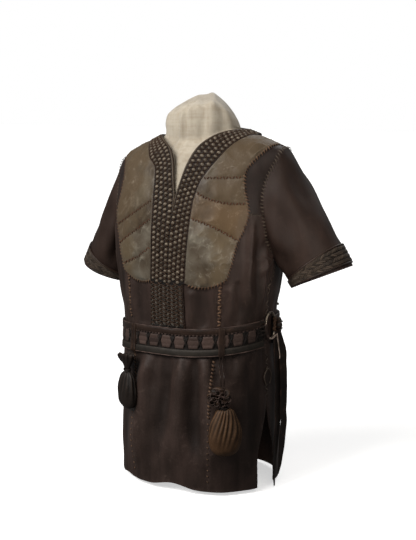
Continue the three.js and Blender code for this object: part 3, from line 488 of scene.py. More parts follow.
def capped(rings):
    """A closed skin over a stack of rings of equal count, with a point in the middle of both end rings."""
    rows, sides = rings.shape[:2]
    points, k = rings.reshape(-1, 3), np.arange(sides)
    quads = [grid_quads(sides, rows, closed=True)]
    for pole, first, a, b in ((len(points), 0, k + 1, k), (len(points) + 1, (rows - 1) * sides, k, k + 1)):
        quads.append(np.stack([np.full(sides, pole), first + a % sides, first + b % sides, np.full(sides, pole)], 1))
    return np.concatenate([points, rings[[0, -1]].mean(1)]), np.concatenate(quads)


def tube(path, normal, half_width, half_height, sides=10, closed=False):
    """A rounded strip along a path: at each point an ellipse across the path, its height along the normal.
    The normal is one for all points, or one for each."""
    normal = np.broadcast_to(np.asarray(normal, float), path.shape)
    along = unit(np.roll(path, -1, 0) - np.roll(path, 1, 0)) if closed else unit(np.gradient(path, axis=0))
    beside = unit(np.cross(along, normal))
    rise = unit(np.cross(beside, along))
    wide, high = (np.broadcast_to(v, len(path))[:, None, None] for v in (half_width, half_height))
    turn = circle(sides)[:, None]
    rings = path[:, None] + beside[:, None] * wide * np.cos(turn) + rise[:, None] * high * np.sin(turn)
    if not closed:
        return capped(rings)
    return rings.reshape(-1, 3), grid_quads(sides, len(path) + 1, closed=True) % (len(path) * sides)


def joined(*parts):
    """Several shapes as one pair of points and quads."""
    shifts = np.cumsum([0] + [len(p[0]) for p in parts[:-1]])
    return np.concatenate([p[0] for p in parts]), np.concatenate([p[1] + n for p, n in zip(parts, shifts)])


print("a strand has", len(strands([[0, 0, 0]], [[1, 0, 0]], [[0, 0, 1]], 1, 1)[1]), "faces")

# %% [markdown]
# ## Shader sums
# A finish is a network of nodes. Wiring it by hand is long, so one small class wraps a socket and
# lets Python's operators add Math nodes, and one method adds any other node from its type, its
# settings and what goes into its sockets.

# %% Shader helpers
def srgb(red, green, blue):
    """Screen values from 0 to 255 as the linear colour that a shader works in."""
    v = np.array([red, green, blue]) / 255
    return (*np.where(v <= 0.04045, v / 12.92, ((v + 0.055) / 1.055) ** 2.4).tolist(), 1.0)


class Value:
    """A socket that takes part in sums: each operator adds one Math node."""

    def __init__(self, finish, output):
        self.finish, self.output = finish, output

    def _math(self, operation, left, right):
        return self.finish.add("ShaderNodeMath", {"operation": operation}, {0: left, 1: right})

    def __add__(self, other): return self._math("ADD", self, other)
    def __radd__(self, other): return self._math("ADD", other, self)
    def __sub__(self, other): return self._math("SUBTRACT", self, other)
    def __rsub__(self, other): return self._math("SUBTRACT", other, self)
    def __mul__(self, other): return self._math("MULTIPLY", self, other)
    def __rmul__(self, other): return self._math("MULTIPLY", other, self)


class Finish:
    """A material under construction. Constants go straight on the shader's sockets."""

    def __init__(self, name, **constants):
        self.material = bpy.data.materials.new(name)
        self.material.use_nodes = True
        self.tree = self.material.node_tree
        self.shader = self.tree.nodes["Principled BSDF"]
        for socket, value in constants.items():
            self.shader.inputs[socket.replace("_", " ")].default_value = value

    def add(self, kind, settings=None, inputs=None, output=0):
        """Any node: its settings first (a ramp's stops among them), then the values or links of its sockets."""
        node = self.tree.nodes.new(kind)
        for key, value in (settings or {}).items():
            if key == "stops":
                ramp = node.color_ramp
                while len(ramp.elements) < len(value):
                    ramp.elements.new(0.5)
                for element, (place, colour) in zip(ramp.elements, value):
                    element.position, element.color = place, colour
            else:
                setattr(node, key, value)
        for socket, value in (inputs or {}).items():
            if isinstance(value, Value):
                self.tree.links.new(value.output, node.inputs[socket])
            else:
                node.inputs[socket].default_value = value
        return Value(self, node.outputs[output])

    def place(self, stretch=(1, 1, 1)):
        """Object coordinates in metres, times a stretch on each axis."""
        where = self.add("ShaderNodeTexCoord", output="Object")
        return self.add("ShaderNodeMapping", {}, {"Vector": where, "Scale": stretch})

    def noise(self, size, detail=3, stretch=(1, 1, 1), roughness=0.55, distortion=0.0):
        """Noise whose largest spots are about size metres wide, from 0 to 1."""
        inputs = {"Vector": self.place(stretch), "Scale": 1 / size, "Detail": detail, "Roughness": roughness,
                  "Distortion": distortion}
        return self.add("ShaderNodeTexNoise", {}, inputs)

    def cells(self, size):
        """The distance to the edge of the nearest of many cells about size metres wide."""
        inputs = {"Vector": self.place(), "Scale": 1 / size}
        return self.add("ShaderNodeTexVoronoi", {"feature": "DISTANCE_TO_EDGE"}, inputs)

    def mark(self, name):
        """The numbers that a piece carries at its points under this name, or 0 where it has none."""
        return self.add("ShaderNodeAttribute", {"attribute_name": name}, output="Fac")

    def step(self, value, low, high):
        """A smooth step from 0 at low to 1 at high."""
        inputs = {0: value, 1: low, 2: high, 3: 0.0, 4: 1.0}
        return self.add("ShaderNodeMapRange", {"interpolation_type": "SMOOTHSTEP"}, inputs)

    def blend(self, share, first, second):
        """first where share is 0 and second where it is 1."""
        return self.add("ShaderNodeMix", {"data_type": "RGBA"}, {0: share, 6: first, 7: second}, output=2)

    def finish(self, colour, roughness, *bumps):
        """Link colour and roughness, and stack the bumps, each (height, depth in metres)."""
        self.tree.links.new(colour.output, self.shader.inputs["Base Color"])
        self.tree.links.new(roughness.output, self.shader.inputs["Roughness"])
        inputs = {}
        for height, depth in bumps:
            inputs.update({"Height": height, "Distance": depth, "Strength": 1.0})
            inputs["Normal"] = self.add("ShaderNodeBump", {}, inputs)
        if bumps:
            self.tree.links.new(inputs["Normal"].output, self.shader.inputs["Normal"])
        return self.material


print("black is", srgb(0, 0, 0), "and mid grey", [round(v, 3) for v in srgb(128, 128, 128)])

# %% [markdown]
# ## Leather
# Vegetable-tanned leather, dyed dark: the dye takes unevenly in soft clouds and hanging streaks, the
# grain shows as fine cells, and handled edges and ridges rub lighter. One function makes every
# leather from its colours, because only those, the cloud's size and the gloss differ between them.

# %% Leather finishes
BLOOM_FROM, BLOOM_TO = 0.128, 0.168  # distance from the middle, in metres, at which the second tone sets in


def leather(name, dark, base, light, cloud=0.07, streak=0.5, wear=0.5, gloss=0.5, crease=0.0005, bloom=None):
    """Colour goes from dark to base by clouds and streaks, on to light by rubbed spots and at marked edges
    (on the belt tails the marked edges are a painted highlight), and to a near black by painted shade in
    the marked troughs, valleys and seams; bloom is a second, browner tone that takes over towards the
    arms along a wandering line."""
    dark, base, light = (srgb(*colour) for colour in (dark, base, light))
    f = Finish(name, Specular_IOR_Level=0.3, IOR=1.4)
    clouds = f.step(f.noise(cloud, 5), 0.34, 0.66)
    streaks = f.step(f.noise(cloud * 0.4, 4, stretch=(1, 1, 0.16)), 0.35, 0.7)
    depth = clouds * (1 - streak) + streaks * streak
    rubbed = f.step(f.noise(cloud * 0.3, 7, roughness=0.75, distortion=0.5), 0.5, 0.8)
    fine, edge = f.noise(0.0035, 3), f.mark("edge")
    colour = f.blend(depth, dark, base)
    if bloom:
        across = f.add("ShaderNodeSeparateXYZ", {}, {"Vector": f.place()})
        outwards = f.add("ShaderNodeMath", {"operation": "ABSOLUTE"}, {0: across})
        wander = f.noise(0.05, 3, distortion=0.6) * 0.12
        colour = f.blend(f.step(outwards + wander, BLOOM_FROM, BLOOM_TO), colour, srgb(*bloom))
    colour = f.blend(f.step(rubbed * wear + edge * wear * 0.55 + fine * 0.25, 0.12, 0.95), colour, light)
    # Painted shade: near black where the shade mark is set, in troughs, valleys and seams.
    colour = f.blend(f.mark("dirt") * 0.8, colour, (*(0.3 * v for v in dark[:3]), 1.0))
    rough = gloss + fine * 0.16 - depth * 0.06 + rubbed * 0.08
    wrinkles = f.noise(0.016, 4, stretch=(1, 1, 0.6), distortion=0.8)
    grain = 0.00012
    return f.finish(colour, rough, (wrinkles, crease), (f.cells(0.0016), grain), (fine, grain * 1.6))


DARK = leather("dark_leather", (32, 22, 17), (56, 43, 38), (87, 71, 64), streak=0.65, wear=0.4, gloss=0.52)
SLEEVE_LEATHER = leather("sleeve_leather", (32, 21, 16), (48, 35, 29), (72, 57, 50), cloud=0.1, wear=0.4)
YOKE_LEATHER = leather("yoke_leather", (28, 20, 17), (43, 32, 28), (64, 51, 45), cloud=0.05, gloss=0.44)
INSIDE = leather("leather_inside", (46, 29, 20), (62, 40, 28), (84, 58, 44), gloss=0.72)
CHEST = [
    leather("chest_olive", (52, 41, 29), (87, 77, 62), (122, 111, 95), cloud=0.06, streak=0.25, wear=0.65,
            gloss=0.4, crease=0.0013, bloom=(78, 65, 49)),
    leather("chest_grey", (62, 51, 39), (98, 92, 81), (136, 130, 116), cloud=0.06, streak=0.2, wear=0.65,
            gloss=0.38, crease=0.0013, bloom=(86, 74, 57)),
    leather("chest_brown", (60, 46, 33), (99, 85, 69), (134, 119, 100), cloud=0.06, streak=0.25, wear=0.6,
            gloss=0.4, crease=0.0013, bloom=(86, 69, 49)),
]
BINDING = leather("binding_leather", (50, 41, 32), (74, 63, 51), (100, 87, 73), cloud=0.03, gloss=0.46)
GROUND = leather("braid_ground", (14, 11, 9), (22, 17, 14), (36, 28, 23), gloss=0.6)
BELT = leather("belt_leather", (27, 18, 13), (45, 32, 25), (84, 64, 51), cloud=0.05, streak=0.1, gloss=0.4)
BELT_LOWER = leather("belt_lower_leather", (26, 22, 18), (40, 35, 29), (64, 56, 48), cloud=0.05, streak=0.1, gloss=0.6)
# The belt tails' light colour also paints the highlight along their edges.
BELT_TAIL = leather("belt_tail_leather", (20, 14, 10), (34, 25, 19), (96, 70, 58), cloud=0.05, streak=0.2, gloss=0.48)
DARK_POUCH = leather("dark_pouch_leather", (21, 15, 11), (33, 25, 20), (60, 47, 38), cloud=0.04)
ROSETTE = leather("rosette_leather", (30, 20, 13), (54, 38, 27), (102, 76, 57), cloud=0.03)
POUCH = leather("pouch_leather", (50, 33, 18), (80, 56, 36), (118, 90, 64), cloud=0.04, gloss=0.55)
print("leathers:", len(bpy.data.materials))

# %% [markdown]
# ## Strips, thread, linen and metal
# The beads of the plaits and the stitches are cut from the same hides but rub lighter on top, and
# no two are quite alike, so each one carries its own random tone as a number on its points.

# %% Other finishes
def strip_finish(name, dark, light, rough=0.5):
    """Colour from dark to light by each strand's own tone and by a little noise."""
    f = Finish(name, Specular_IOR_Level=0.25, IOR=1.4)
    share = f.step(f.mark("tone") * 0.65 + f.noise(0.004, 3) * 0.45, 0.05, 1.0)
    colour = f.blend(share, srgb(*dark), srgb(*light))
    return f.finish(colour, rough + f.noise(0.002) * 0.15, (f.noise(0.0015, 2), 0.0002))


BEADS = strip_finish("braid_beads", (44, 36, 28), (110, 100, 87), 0.36)
LATTICE = strip_finish("braid_lattice", (32, 22, 16), (72, 55, 43), 0.42)
CUFF_STRANDS = strip_finish("cuff_strands", (26, 20, 16), (70, 60, 51), 0.45)
BELLY_STRANDS = strip_finish("belly_strands", (26, 23, 20), (78, 72, 65), 0.42)
TAN_THONG = strip_finish("tan_thong", (54, 38, 28), (104, 80, 62), 0.55)
GREY_THONG = strip_finish("grey_thong", (44, 37, 31), (86, 76, 66), 0.55)
DARK_THREAD = strip_finish("dark_thread", (46, 25, 14), (80, 48, 31), 0.6)
BLOCKS = strip_finish("belt_blocks", (38, 28, 24), (74, 59, 53))
# PALE_EDGE paints the highlight on the rear tail's edge, and colours the pale tie at the ring.
PALE_EDGE = strip_finish("pale_edge", (108, 92, 80), (176, 158, 146), 0.45)
BLACK_THONG = strip_finish("dark_thong", (18, 14, 12), (34, 27, 23))


def linen_finish():
    """Plain weave: threads along z and across it as two bands, with slubs and faint clouds of tone."""
    f = Finish("linen", Sheen_Weight=0.25, Specular_IOR_Level=0.2)
    threads = {"Vector": f.place(), "Scale": 260.0, "Distortion": 1.2, "Detail": 2.0, "Detail Scale": 3.0}
    across, along = (f.add("ShaderNodeTexWave", {"bands_direction": axis}, threads) for axis in "ZX")
    slub = f.noise(0.006, 4, stretch=(1, 1, 0.15)) * 0.5 + f.noise(0.006, 4, stretch=(0.15, 0.15, 1)) * 0.5
    colour = f.blend(f.step(f.noise(0.05, 5), 0.3, 0.7), srgb(154, 145, 130), srgb(175, 166, 150))
    colour = f.blend(f.step(slub, 0.42, 0.7) * 0.5, colour, srgb(138, 124, 104))
    return f.finish(colour, 0.85 + slub * 0.1, (across, 0.00012), (along, 0.00012), (slub, 0.0004))


def steel_finish():
    """Dull forged metal: grey, with darker spots that are also rougher."""
    f = Finish("steel", Metallic=0.9)
    spots = f.step(f.noise(0.006, 5), 0.4, 0.7)
    colour = f.blend(spots, srgb(150, 138, 124), srgb(60, 50, 43))
    return f.finish(colour, 0.28 + spots * 0.3, (f.noise(0.003, 3), 0.0002))


def stand_finish():
    """Powder-coated steel, nearly black, with a fine orange peel."""
    f = Finish("stand_paint", Metallic=0.3)
    speck = f.noise(0.002, 3)
    colour = f.blend(speck, srgb(18, 18, 19), srgb(34, 34, 35))
    return f.finish(colour, 0.42 + speck * 0.15, (f.noise(0.0012, 2), 0.0001))


LINEN, STEEL, STAND = linen_finish(), steel_finish(), stand_finish()
print("finishes:", len(bpy.data.materials))

# %% [markdown]
# ## Tunic panels
# The tunic is cut as a front with a slit from the neck, two side fronts, two yokes, a back in one
# and two sleeves. Each panel is a grid of angle and height between its seams. Rows are shared by
# all panels, so a seam's two edges meet point by point. Along each seam the edge is drawn in and
# down a little, as a laced edge is, with a pucker at each stitch.

# %% Seam lines
# Distance from the middle against height.
ARMHOLE = smooth_curve([488, 505, 540, 580, 612, 650, 700, 751], [184, 181, 177, 175, 178, 186, 192, 193])
FRONT_SEAM = smooth_curve([0, 286, 356, 435, 500, 551, 600, 650, 700, 751],
                          [89, 97, 105, 110, 122, 136, 132, 138, 150, 158])
# Height, the middle line or the opening's right and left edge, and the braids' right and left edge.
LOW_FRONT = np.array([(440, 0, 0, -40, 40), (480, 3, 3, -38, 43), (520, 7, 7, -37, 48), (560, 12, 12, -39, 53)], float)
NECKLINE = np.array([
    (560, 12, 12, -39, 53), (590, 3, 22, -43, 64), (612, -4, 29, -50, 77), (635, -17, 37, -70, 89),
    (670, -47, 55, -88, 103), (700, -68, 72, -102, 114), (730, -84, 87, -112, 122), (751, -92, 92, -118, 126)], float)
low_front, neckline = (smooth_curve(table[:, 0], table[:, 1:]) for table in (LOW_FRONT, NECKLINE))


def front_lines(h):
    """(right edge, left edge, braid's right edge, braid's left edge) of the front's middle at height h."""
    h = np.asarray(h, float)
    return np.where((h <= NECK_START)[..., None], low_front(h), neckline(h))


def neck_x(sign, h):
    return front_lines(h)[..., 0 if sign < 0 else 1]


def braid_x(sign, h):
    return front_lines(h)[..., 2 if sign < 0 else 3]


def hem(phi):
    """8 mm, lifted in one wave left of the front's middle and a small one beside it, and lower behind."""
    wave = lambda middle, spread: bell(phi - middle, spread)
    return 8 + 11 * wave(-86, 13) + 5 * wave(-130, 9) - 5 * wave(90, 45)


def side_edge(h, face):
    """Angle of the side seam: 8 degrees in front of the side, and below the slit's top its two edges open."""
    seam = -8 * (1 - smooth((h - 420) / (UNDERARM - 420)))
    opened = smooth((SLIT_TOP - h) / 140)
    turn = seam - 12 * opened if face < 0 else seam + 13 * opened
    return np.where(h >= UNDERARM, 0, turn)


# %% Rows
YOKE_ROWS = 19


def row_table():
    """For the low rows the share of the way from the hem to the underarm, and the heights of the rows above."""
    to_yoke = np.linspace(UNDERARM, YOKE_SEAM, YOKE_ROWS + 1)[1:]
    to_top = mix(NECK_START, SHOULDER, 1 - (1 - np.linspace(0, 1, 72)) ** 1.35)
    return np.linspace(0, 1, 152), np.concatenate([to_yoke, [(YOKE_SEAM + NECK_START) / 2], to_top])


LOW_ROWS, HIGH_ROWS = row_table()
LAST_ROW = len(LOW_ROWS) + len(HIGH_ROWS) - 1
YOKE_ROW = len(LOW_ROWS) - 1 + YOKE_ROWS
SLIT_ROW = YOKE_ROW + 2


def row_height(row, phi):
    low = np.clip(row, 0, len(LOW_ROWS) - 1)
    high = np.clip(row - len(LOW_ROWS), 0, len(HIGH_ROWS) - 1)
    return np.where(row < len(LOW_ROWS), mix(hem(phi), UNDERARM, LOW_ROWS[low]), HIGH_ROWS[high])


print("rows:", LAST_ROW + 1, "yoke seam at row", YOKE_ROW, "opening from row", SLIT_ROW)

# %% Panels as grids
LEATHER = 1.8
GAP = 0.12  # how far an edge is drawn in from its seam


def edge_run(points):
    """For each point of a grid, the distance along its row or column to each of the four edges, in mm."""
    def run(axis):
        steps = np.linalg.norm(np.diff(points, axis=axis), axis=-1)
        start = np.cumsum(np.concatenate([np.zeros_like(np.take(steps, [0], axis)), steps], axis), axis)
        return start, np.take(start, [-1], axis) - start
    left, right = run(1)
    low, high = run(0)
    return left, right, low, high


def drawn_in(points, gap=GAP):
    """Border points moved towards their neighbours by the gap."""
    moved = points.copy()
    moved[:, 0] += gap * unit(points[:, 1] - points[:, 0])
    moved[:, -1] += gap * unit(points[:, -2] - points[:, -1])
    moved[0] += gap * unit(points[1] - points[0])
    moved[-1] += gap * unit(points[-2] - points[-1])
    return moved


def flat_cut(points):
    """Width, length and area in metres of the cut: the longest row, the longest column, and the grid's own area."""
    a, b = points[:-1, 1:] - points[:-1, :-1], points[1:, :-1] - points[:-1, :-1]
    area = float(np.linalg.norm(np.cross(a, b), axis=-1).sum()) * MM**2
    width = float(np.linalg.norm(np.diff(points, axis=1), axis=-1).sum(1).max()) * MM
    length = float(np.linalg.norm(np.diff(points, axis=0), axis=-1).sum(0).max()) * MM
    return width, length, area


CUTS = {}


def cut_to(made, points, held="hung", rests_on=("dress_form",), with_pieces=()):
    """Note a panel's flat cut in CUTS, measured on the smooth surface before it drapes. A cut is at least
    10 mm wide, and its area is 30 to 100 % of its rectangle."""
    width, length, area = flat_cut(points)
    width, length = max(width, 0.0101), max(length, 0.0101)
    area = float(np.clip(area, 0.301 * width * length, width * length))
    CUTS[made.name] = (round(width, 3), round(length, 3), round(area, 4))
    list(rests_on)
    list(with_pieces)
    return made


def laced_dip(distance, along, pitch=14.0):
    """How far a seam's edge sinks: 0.7 exp(-(d / 3.5)^2) and a pucker 0.45 (1 + cos) / 2 exp(-d / 8) at each
    stitch."""
    pucker = 0.45 * (0.5 + 0.5 * np.cos(2 * np.pi * along / pitch))
    return 0.7 * bell(distance, 3.5) + pucker * np.exp(-distance / 8)


def rubbed(near, phi, h):
    """Marks: edge is exp(-distance to the edge / 5), more on ridges; painted shade darkens the troughs."""
    high = drape(phi, h)
    edge = np.clip(np.exp(-near / 5) + np.clip(high / 14, 0, 0.5), 0, 1)
    # The second mark is painted shade: darker the deeper the drape's trough.
    return {"edge": edge, "dirt": 0.55 * np.clip(-high / 4, 0, 1)}


def nearest(*distances):
    return np.minimum.reduce(distances)


def panel(name, place, columns, rows, finish, node, hem_dip=None):
    """A panel of leather: place(share across, row) gives angle and height on the body. hem_dip adds to how
    far its edges sink, from the distances to its lower and its left edge."""
    u, row = np.meshgrid(np.linspace(0, 1, columns), rows)
    phi, h = place(u, row)
    base = body_point(phi, h)
    left, right, low, high = edge_run(base)
    sink = laced_dip(nearest(left, right), h) + (hem_dip(low, left) if hem_dip else 0)
    outer, inner = (drawn_in(on_skin(phi, h, out)) for out in (-sink, -sink - LEATHER))
    marks = rubbed(nearest(left, right, low, high), phi, h)
    return cut_to(piece(name, grid_wall(outer, inner), finish, node, "dark_leather", INSIDE, **marks), base)


# %% Side fronts and yokes
def side_front(sign):
    """From the front seam to the side seam and the lower armhole; the right one is the mirror image."""
    def place(u, row):
        plain = row_height(row, 0.0)
        to_side = np.where(plain < UNDERARM, side_edge(plain, -1), angle_at(ARMHOLE(plain), plain))
        t = u if sign > 0 else 1 - u
        phi = mix(angle_at(FRONT_SEAM(plain), plain), to_side, t)
        phi = phi if sign > 0 else -180 - phi
        return phi, row_height(row, phi)
    return place


def yoke(sign):
    """Between the front seam and the armhole, above the yoke seam."""
    def place(u, row):
        h = row_height(row, 0.0)
        return angle_at(sign * mix(FRONT_SEAM(h), ARMHOLE(h), u if sign > 0 else 1 - u), h), h
    return place


SIDES = [("left", 1), ("right", -1)]
for side, sign in SIDES:
    panel(f"tunic_side_front_{side}", side_front(sign), 58, np.arange(0, YOKE_ROW + 1), DARK, f"side_front_{side}")
    panel(f"tunic_yoke_{side}", yoke(sign), 20, np.arange(YOKE_ROW, LAST_ROW + 1), YOKE_LEATHER, f"yoke_{side}",
          lambda low, left: laced_dip(low, left, 9.0))
print("side front cut (m, m, m2):", CUTS["tunic_side_front_left"], "yoke:", CUTS["tunic_yoke_left"])

# %% Front
def front_panel(columns=44):
    """Two halves on shared rows; below the opening they share the middle column, above it each has its own."""
    row, t = np.meshgrid(np.arange(LAST_ROW + 1), np.linspace(0, 1, columns), indexing="ij")
    plain = row_height(row, 0.0)
    halves = []
    for sign, share in ((-1, 1 - t), (1, t)):
        phi = angle_at(mix(neck_x(sign, plain), sign * FRONT_SEAM(plain), share), plain)
        halves.append((phi, row_height(row, phi), share))
    phi, h, share = (np.concatenate([a, b], axis=1) for a, b in zip(*halves))
    base = body_point(phi, h)
    left, right, low, _ = edge_run(base)
    sink = laced_dip(nearest(left, right), h)
    outer, inner = (drawn_in(on_skin(phi, h, out)) for out in (-sink, -sink - LEATHER))
    quads = grid_quads(2 * columns, LAST_ROW + 1)
    quads = quads[quads[:, 0] % (2 * columns) != columns - 1]
    number = np.arange(2 * columns * (LAST_ROW + 1))
    shared = (number % (2 * columns) == columns) & (number // (2 * columns) <= SLIT_ROW)
    quads = np.where(shared, number - 1, number)[quads]
    used, quads = np.unique(quads, return_inverse=True)
    shape = wall(outer.reshape(-1, 3)[used], inner.reshape(-1, 3)[used], quads.reshape(-1, 4))
    marks = {name: value.ravel()[used] for name, value in rubbed(nearest(left, right, low), phi, h).items()}
    return cut_to(piece("tunic_front", shape, DARK, "front", "dark_leather", INSIDE, **marks), base)


front_panel()
print("front cut:", CUTS["tunic_front"])

# %% Back
BACK_NECK = (92.0, 690.0)  # half width and lowest height of the back neckline, half an ellipse
BACK_BRAID = (122.0, 646.0)  # the same of the back braid's outer edge
BACK_TOP = 193.0  # half width of the back at the shoulder


def back_neck(x):
    return SHOULDER - (SHOULDER - BACK_NECK[1]) * np.sqrt(1 - np.clip(np.abs(x) / BACK_NECK[0], 0, 1) ** 2)


def back_place(u, row):
    """Even angles between the side seams below the arm; above it, even steps along the shoulder. Its
    middle dips to the neckline."""
    plain = row_height(row, 0.0)
    w = section(plain)[1]
    left = np.where(plain < UNDERARM, side_edge(plain, 1), angle_at(ARMHOLE(plain), plain, 1))
    top_left = angle_at(BACK_TOP, SHOULDER, 1)
    x_top = mix(BACK_TOP, -BACK_TOP, u)
    top = angle_at(x_top, SHOULDER, 1)
    share = mix(u, (top - top_left) / (180 - 2 * top_left), w)
    dip = (SHOULDER - back_neck(x_top)) * smooth((plain - 600) / (SHOULDER - 600))
    phi = mix(left, 180 - left, share)
    lift = np.where(row < len(LOW_ROWS), row_height(row, phi), plain)
    return phi, lift - dip


panel("tunic_back", back_place, 171, np.arange(0, LAST_ROW + 1), DARK, "back")
print("back cut:", CUTS["tunic_back"])

# %% [markdown]
# ## Sleeves
# A sleeve is a tube from the armhole to a slanted hem. Four rings give its form, the armhole among
# them, and a cubic joins them along each line of the tube. Soft folds fan out from the underarm
# and fall from the head.

# %% Sleeve surface
SLEEVES = {  # head, underarm and hem tip, and the hem's slope in degrees
    1: ((213, 30, 675), (187, 10, 478), (333, 30, 478), 22.9),
    -1: ((-208, 30, 649), (-186, 10, 470), (-312, 30, 446), 18.0),
}
HEM_RADIUS, HEM_DEPTH, HEAD_DEPTH = 66.0, 60.0, 69.0
ring_weights = smooth_curve([0, 0.2, 0.6, 1], np.eye(4))


def armhole_place(theta, sign):
    """The body's angle and height coordinate where the sleeve's line theta starts (0 underarm, 90 front, 180 top)."""
    theta = np.asarray(theta, float) % 360
    w = 2 / np.pi * np.arcsin(np.clip((1 - np.cos(np.radians(theta))) / 2, 0, 1) ** (1 / 0.92))
    h = mix(UNDERARM, SHOULDER, w)
    x = sign * ARMHOLE(h)
    return np.where(theta < 180, angle_at(x, h, -1), angle_at(x, h, 1)), h


def sleeve_point(sign, theta, t):
    """The rings at theta, joined along t by the cubic through t = 0, 0.2, 0.6 and 1."""
    theta, t = np.broadcast_arrays(np.asarray(theta, float), np.asarray(t, float))
    head, under, tip, slope = SLEEVES[sign]
    head, under, tip = (np.array(v, float) for v in (head, under, tip))
    c, s = (v[..., None] for v in cos_sin(theta))
    level, rise = cos_sin(slope)
    up, forward = np.array([sign * level, 0, rise]), np.array([0.0, -1.0, 0.0])
    head_ring = (head + under) / 2 - c * (head - under) / 2 + HEAD_DEPTH * s * forward
    hem_ring = tip - HEM_RADIUS * up - HEM_RADIUS * c * up + HEM_DEPTH * s * forward
    start = body_point(*armhole_place(theta, sign))
    rings = np.stack([start, head_ring, (head_ring + hem_ring) / 2, hem_ring], axis=-2)
    return np.einsum("...k,...kd->...d", ring_weights(t), rings)


SLEEVE_FOLDS = [  # (theta, t) start, (theta, t) end, width in degrees, depth
    (40, 0.05, 62, 0.72, 13, -4.5), (62, 0.08, 88, 0.8, 13, 3.5), (95, 0.04, 105, 0.6, 12, -3),
    (122, 0.02, 128, 0.7, 16, 3), (150, 0.05, 158, 0.55, 12, -2), (20, 0.1, 30, 0.6, 11, 2.5),
    (320, 0.05, 298, 0.72, 13, -4.5), (298, 0.08, 272, 0.8, 13, 3.5), (265, 0.04, 255, 0.6, 12, -3),
    (236, 0.02, 232, 0.7, 16, 3), (208, 0.05, 200, 0.55, 12, -2), (340, 0.1, 330, 0.6, 11, 2.5)]


def sleeve_drape(sign, theta, t):
    """The sleeve's own folds, which fade into the body's drape at the armhole and die out above the cuff."""
    total = np.zeros(np.broadcast(theta, t).shape)
    for k, (a0, t0, a1, t1, width, depth) in enumerate(SLEEVE_FOLDS):
        share = (t - t0) / (t1 - t0)
        off = (theta - mix(a0, a1, share) + (6 if sign < 0 else 0) + 180) % 360 - 180 + 3 * np.sin(6 * share + k)
        fade = smooth((share + 0.05) / 0.3) * smooth((1.1 - share) / 0.5)
        total = total + depth * bell(off, width) * fade
    total = total + 0.9 * soft_noise(sleeve_point(sign, theta, t), 70, 5 + sign) * smooth(t / 0.2)
    total = total * smooth((0.84 - t) / 0.1)
    return total + drape(*armhole_place(theta, sign)) * (1 - smooth(t / 0.25))


def sleeve_ways(sign, theta, t, place=sleeve_point):
    """Unit steps round the surface place(sign, theta, t) and along it, and the normal between them."""
    around = place(sign, theta + 2, t) - place(sign, theta - 2, t)
    along = place(sign, theta, np.minimum(t + 0.01, 1)) - place(sign, theta, np.maximum(t - 0.01, 0))
    return unit(around), unit(along), -sign * unit(np.cross(around, along))


def on_sleeve(sign, theta, t, out=0.0):
    """A point of the sleeve moved out along its normal, which turns into the body's normal at the armhole."""
    theta, t = np.broadcast_arrays(np.asarray(theta, float), np.asarray(t, float))
    share = smooth(t / 0.06)[..., None]
    normal = unit(mix(body_normal(*armhole_place(theta, sign)), sleeve_ways(sign, theta, t)[2], share))
    return sleeve_point(sign, theta, t) + normal * (np.asarray(out, float) + sleeve_drape(sign, theta, t))[..., None]


def closed_cut(points):
    """A tube's cut is its grid with the first column repeated, opened at the underarm."""
    return np.concatenate([points, points[:, :1]], axis=1)


def sleeve_wall(sign, theta, t, low, high):
    """A closed-round wall on the sleeve between the offsets low and high."""
    outer, inner = (on_sleeve(sign, theta, t, out) for out in (high, low))
    return grid_wall(outer, inner, closed=True)


# %% Sleeves
for side, sign in SIDES:
    theta, t = np.meshgrid(np.arange(0, 360, 2.5), np.linspace(0, 1, 78) ** 1.15)
    base = sleeve_point(sign, theta, t)
    low, high = edge_run(base)[2:]
    sink = laced_dip(low, theta * 1.6, 9.0)
    sleeve = piece(f"tunic_sleeve_{side}", sleeve_wall(sign, theta, t, -LEATHER - sink, -sink), SLEEVE_LEATHER,
                   f"sleeve_{side}", "dark_leather", INSIDE, edge=np.exp(-nearest(low, high) / 5))
    cut_to(sleeve, closed_cut(base), rests_on=["tunic_back"])
print("sleeve cut:", CUTS["tunic_sleeve_left"])

# %% [markdown]
# ## Chest patches
# On each side four pieces of thinner, worn leather lie from the braid to a whip-stitched outer
# edge, with dark stitched seams between them. Each is a wall that swells a little between its
# seams and carries a net of fine wrinkles, rubbed lighter where it stands proud.

# %% Patch shapes
LIFT, TRIM = 0.9, 1.8  # how far trim lies off the panel, and its thickness
PATCH_GAP = 0.06
PATCH_EDGE = smooth_curve([453, 486, 510, 533, 549, 564, 590, 622, 650, 681, 751],
                          [122, 132, 140, 151, 155, 154, 147, 144, 153, 164, 178])
PATCH_SEAMS = {  # heights of the seams at the inner and the outer edge, and how much each one sags
    1: ([442, 536, 572, 594, 751], [453, 513, 568, 612, 751], [-13, 4, -6, 0, 0]),
    -1: ([442, 500, 534, 559, 751], [455, 466, 500, 527, 751], [-11, 0, 0, 0, 0]),
}
PATCH_FINISH = {1: (1, 2, 0, 0), -1: (1, 1, 0, 0)}


def patch_seam(sign, k, t):
    """x and height of seam k at share t from the braid outwards: a straight line with a sag of 4 s t (1 - t)."""
    inner, outer, sag = PATCH_SEAMS[sign]
    h = mix(inner[k], outer[k], t) + 4 * sag[k] * t * (1 - t)
    return mix(braid_x(sign, h), sign * PATCH_EDGE(h), t), h


def wrinkles(points, seed):
    """Thin lines where a soft noise crosses zero: (1 - |noise|)^7, broken up by a second noise, from 0 to 1."""
    lines = np.clip(1 - np.abs(soft_noise(points, 34, seed)), 0, 1) ** 7
    return lines * smooth(0.5 + 0.8 * soft_noise(points, 45, seed + 1))


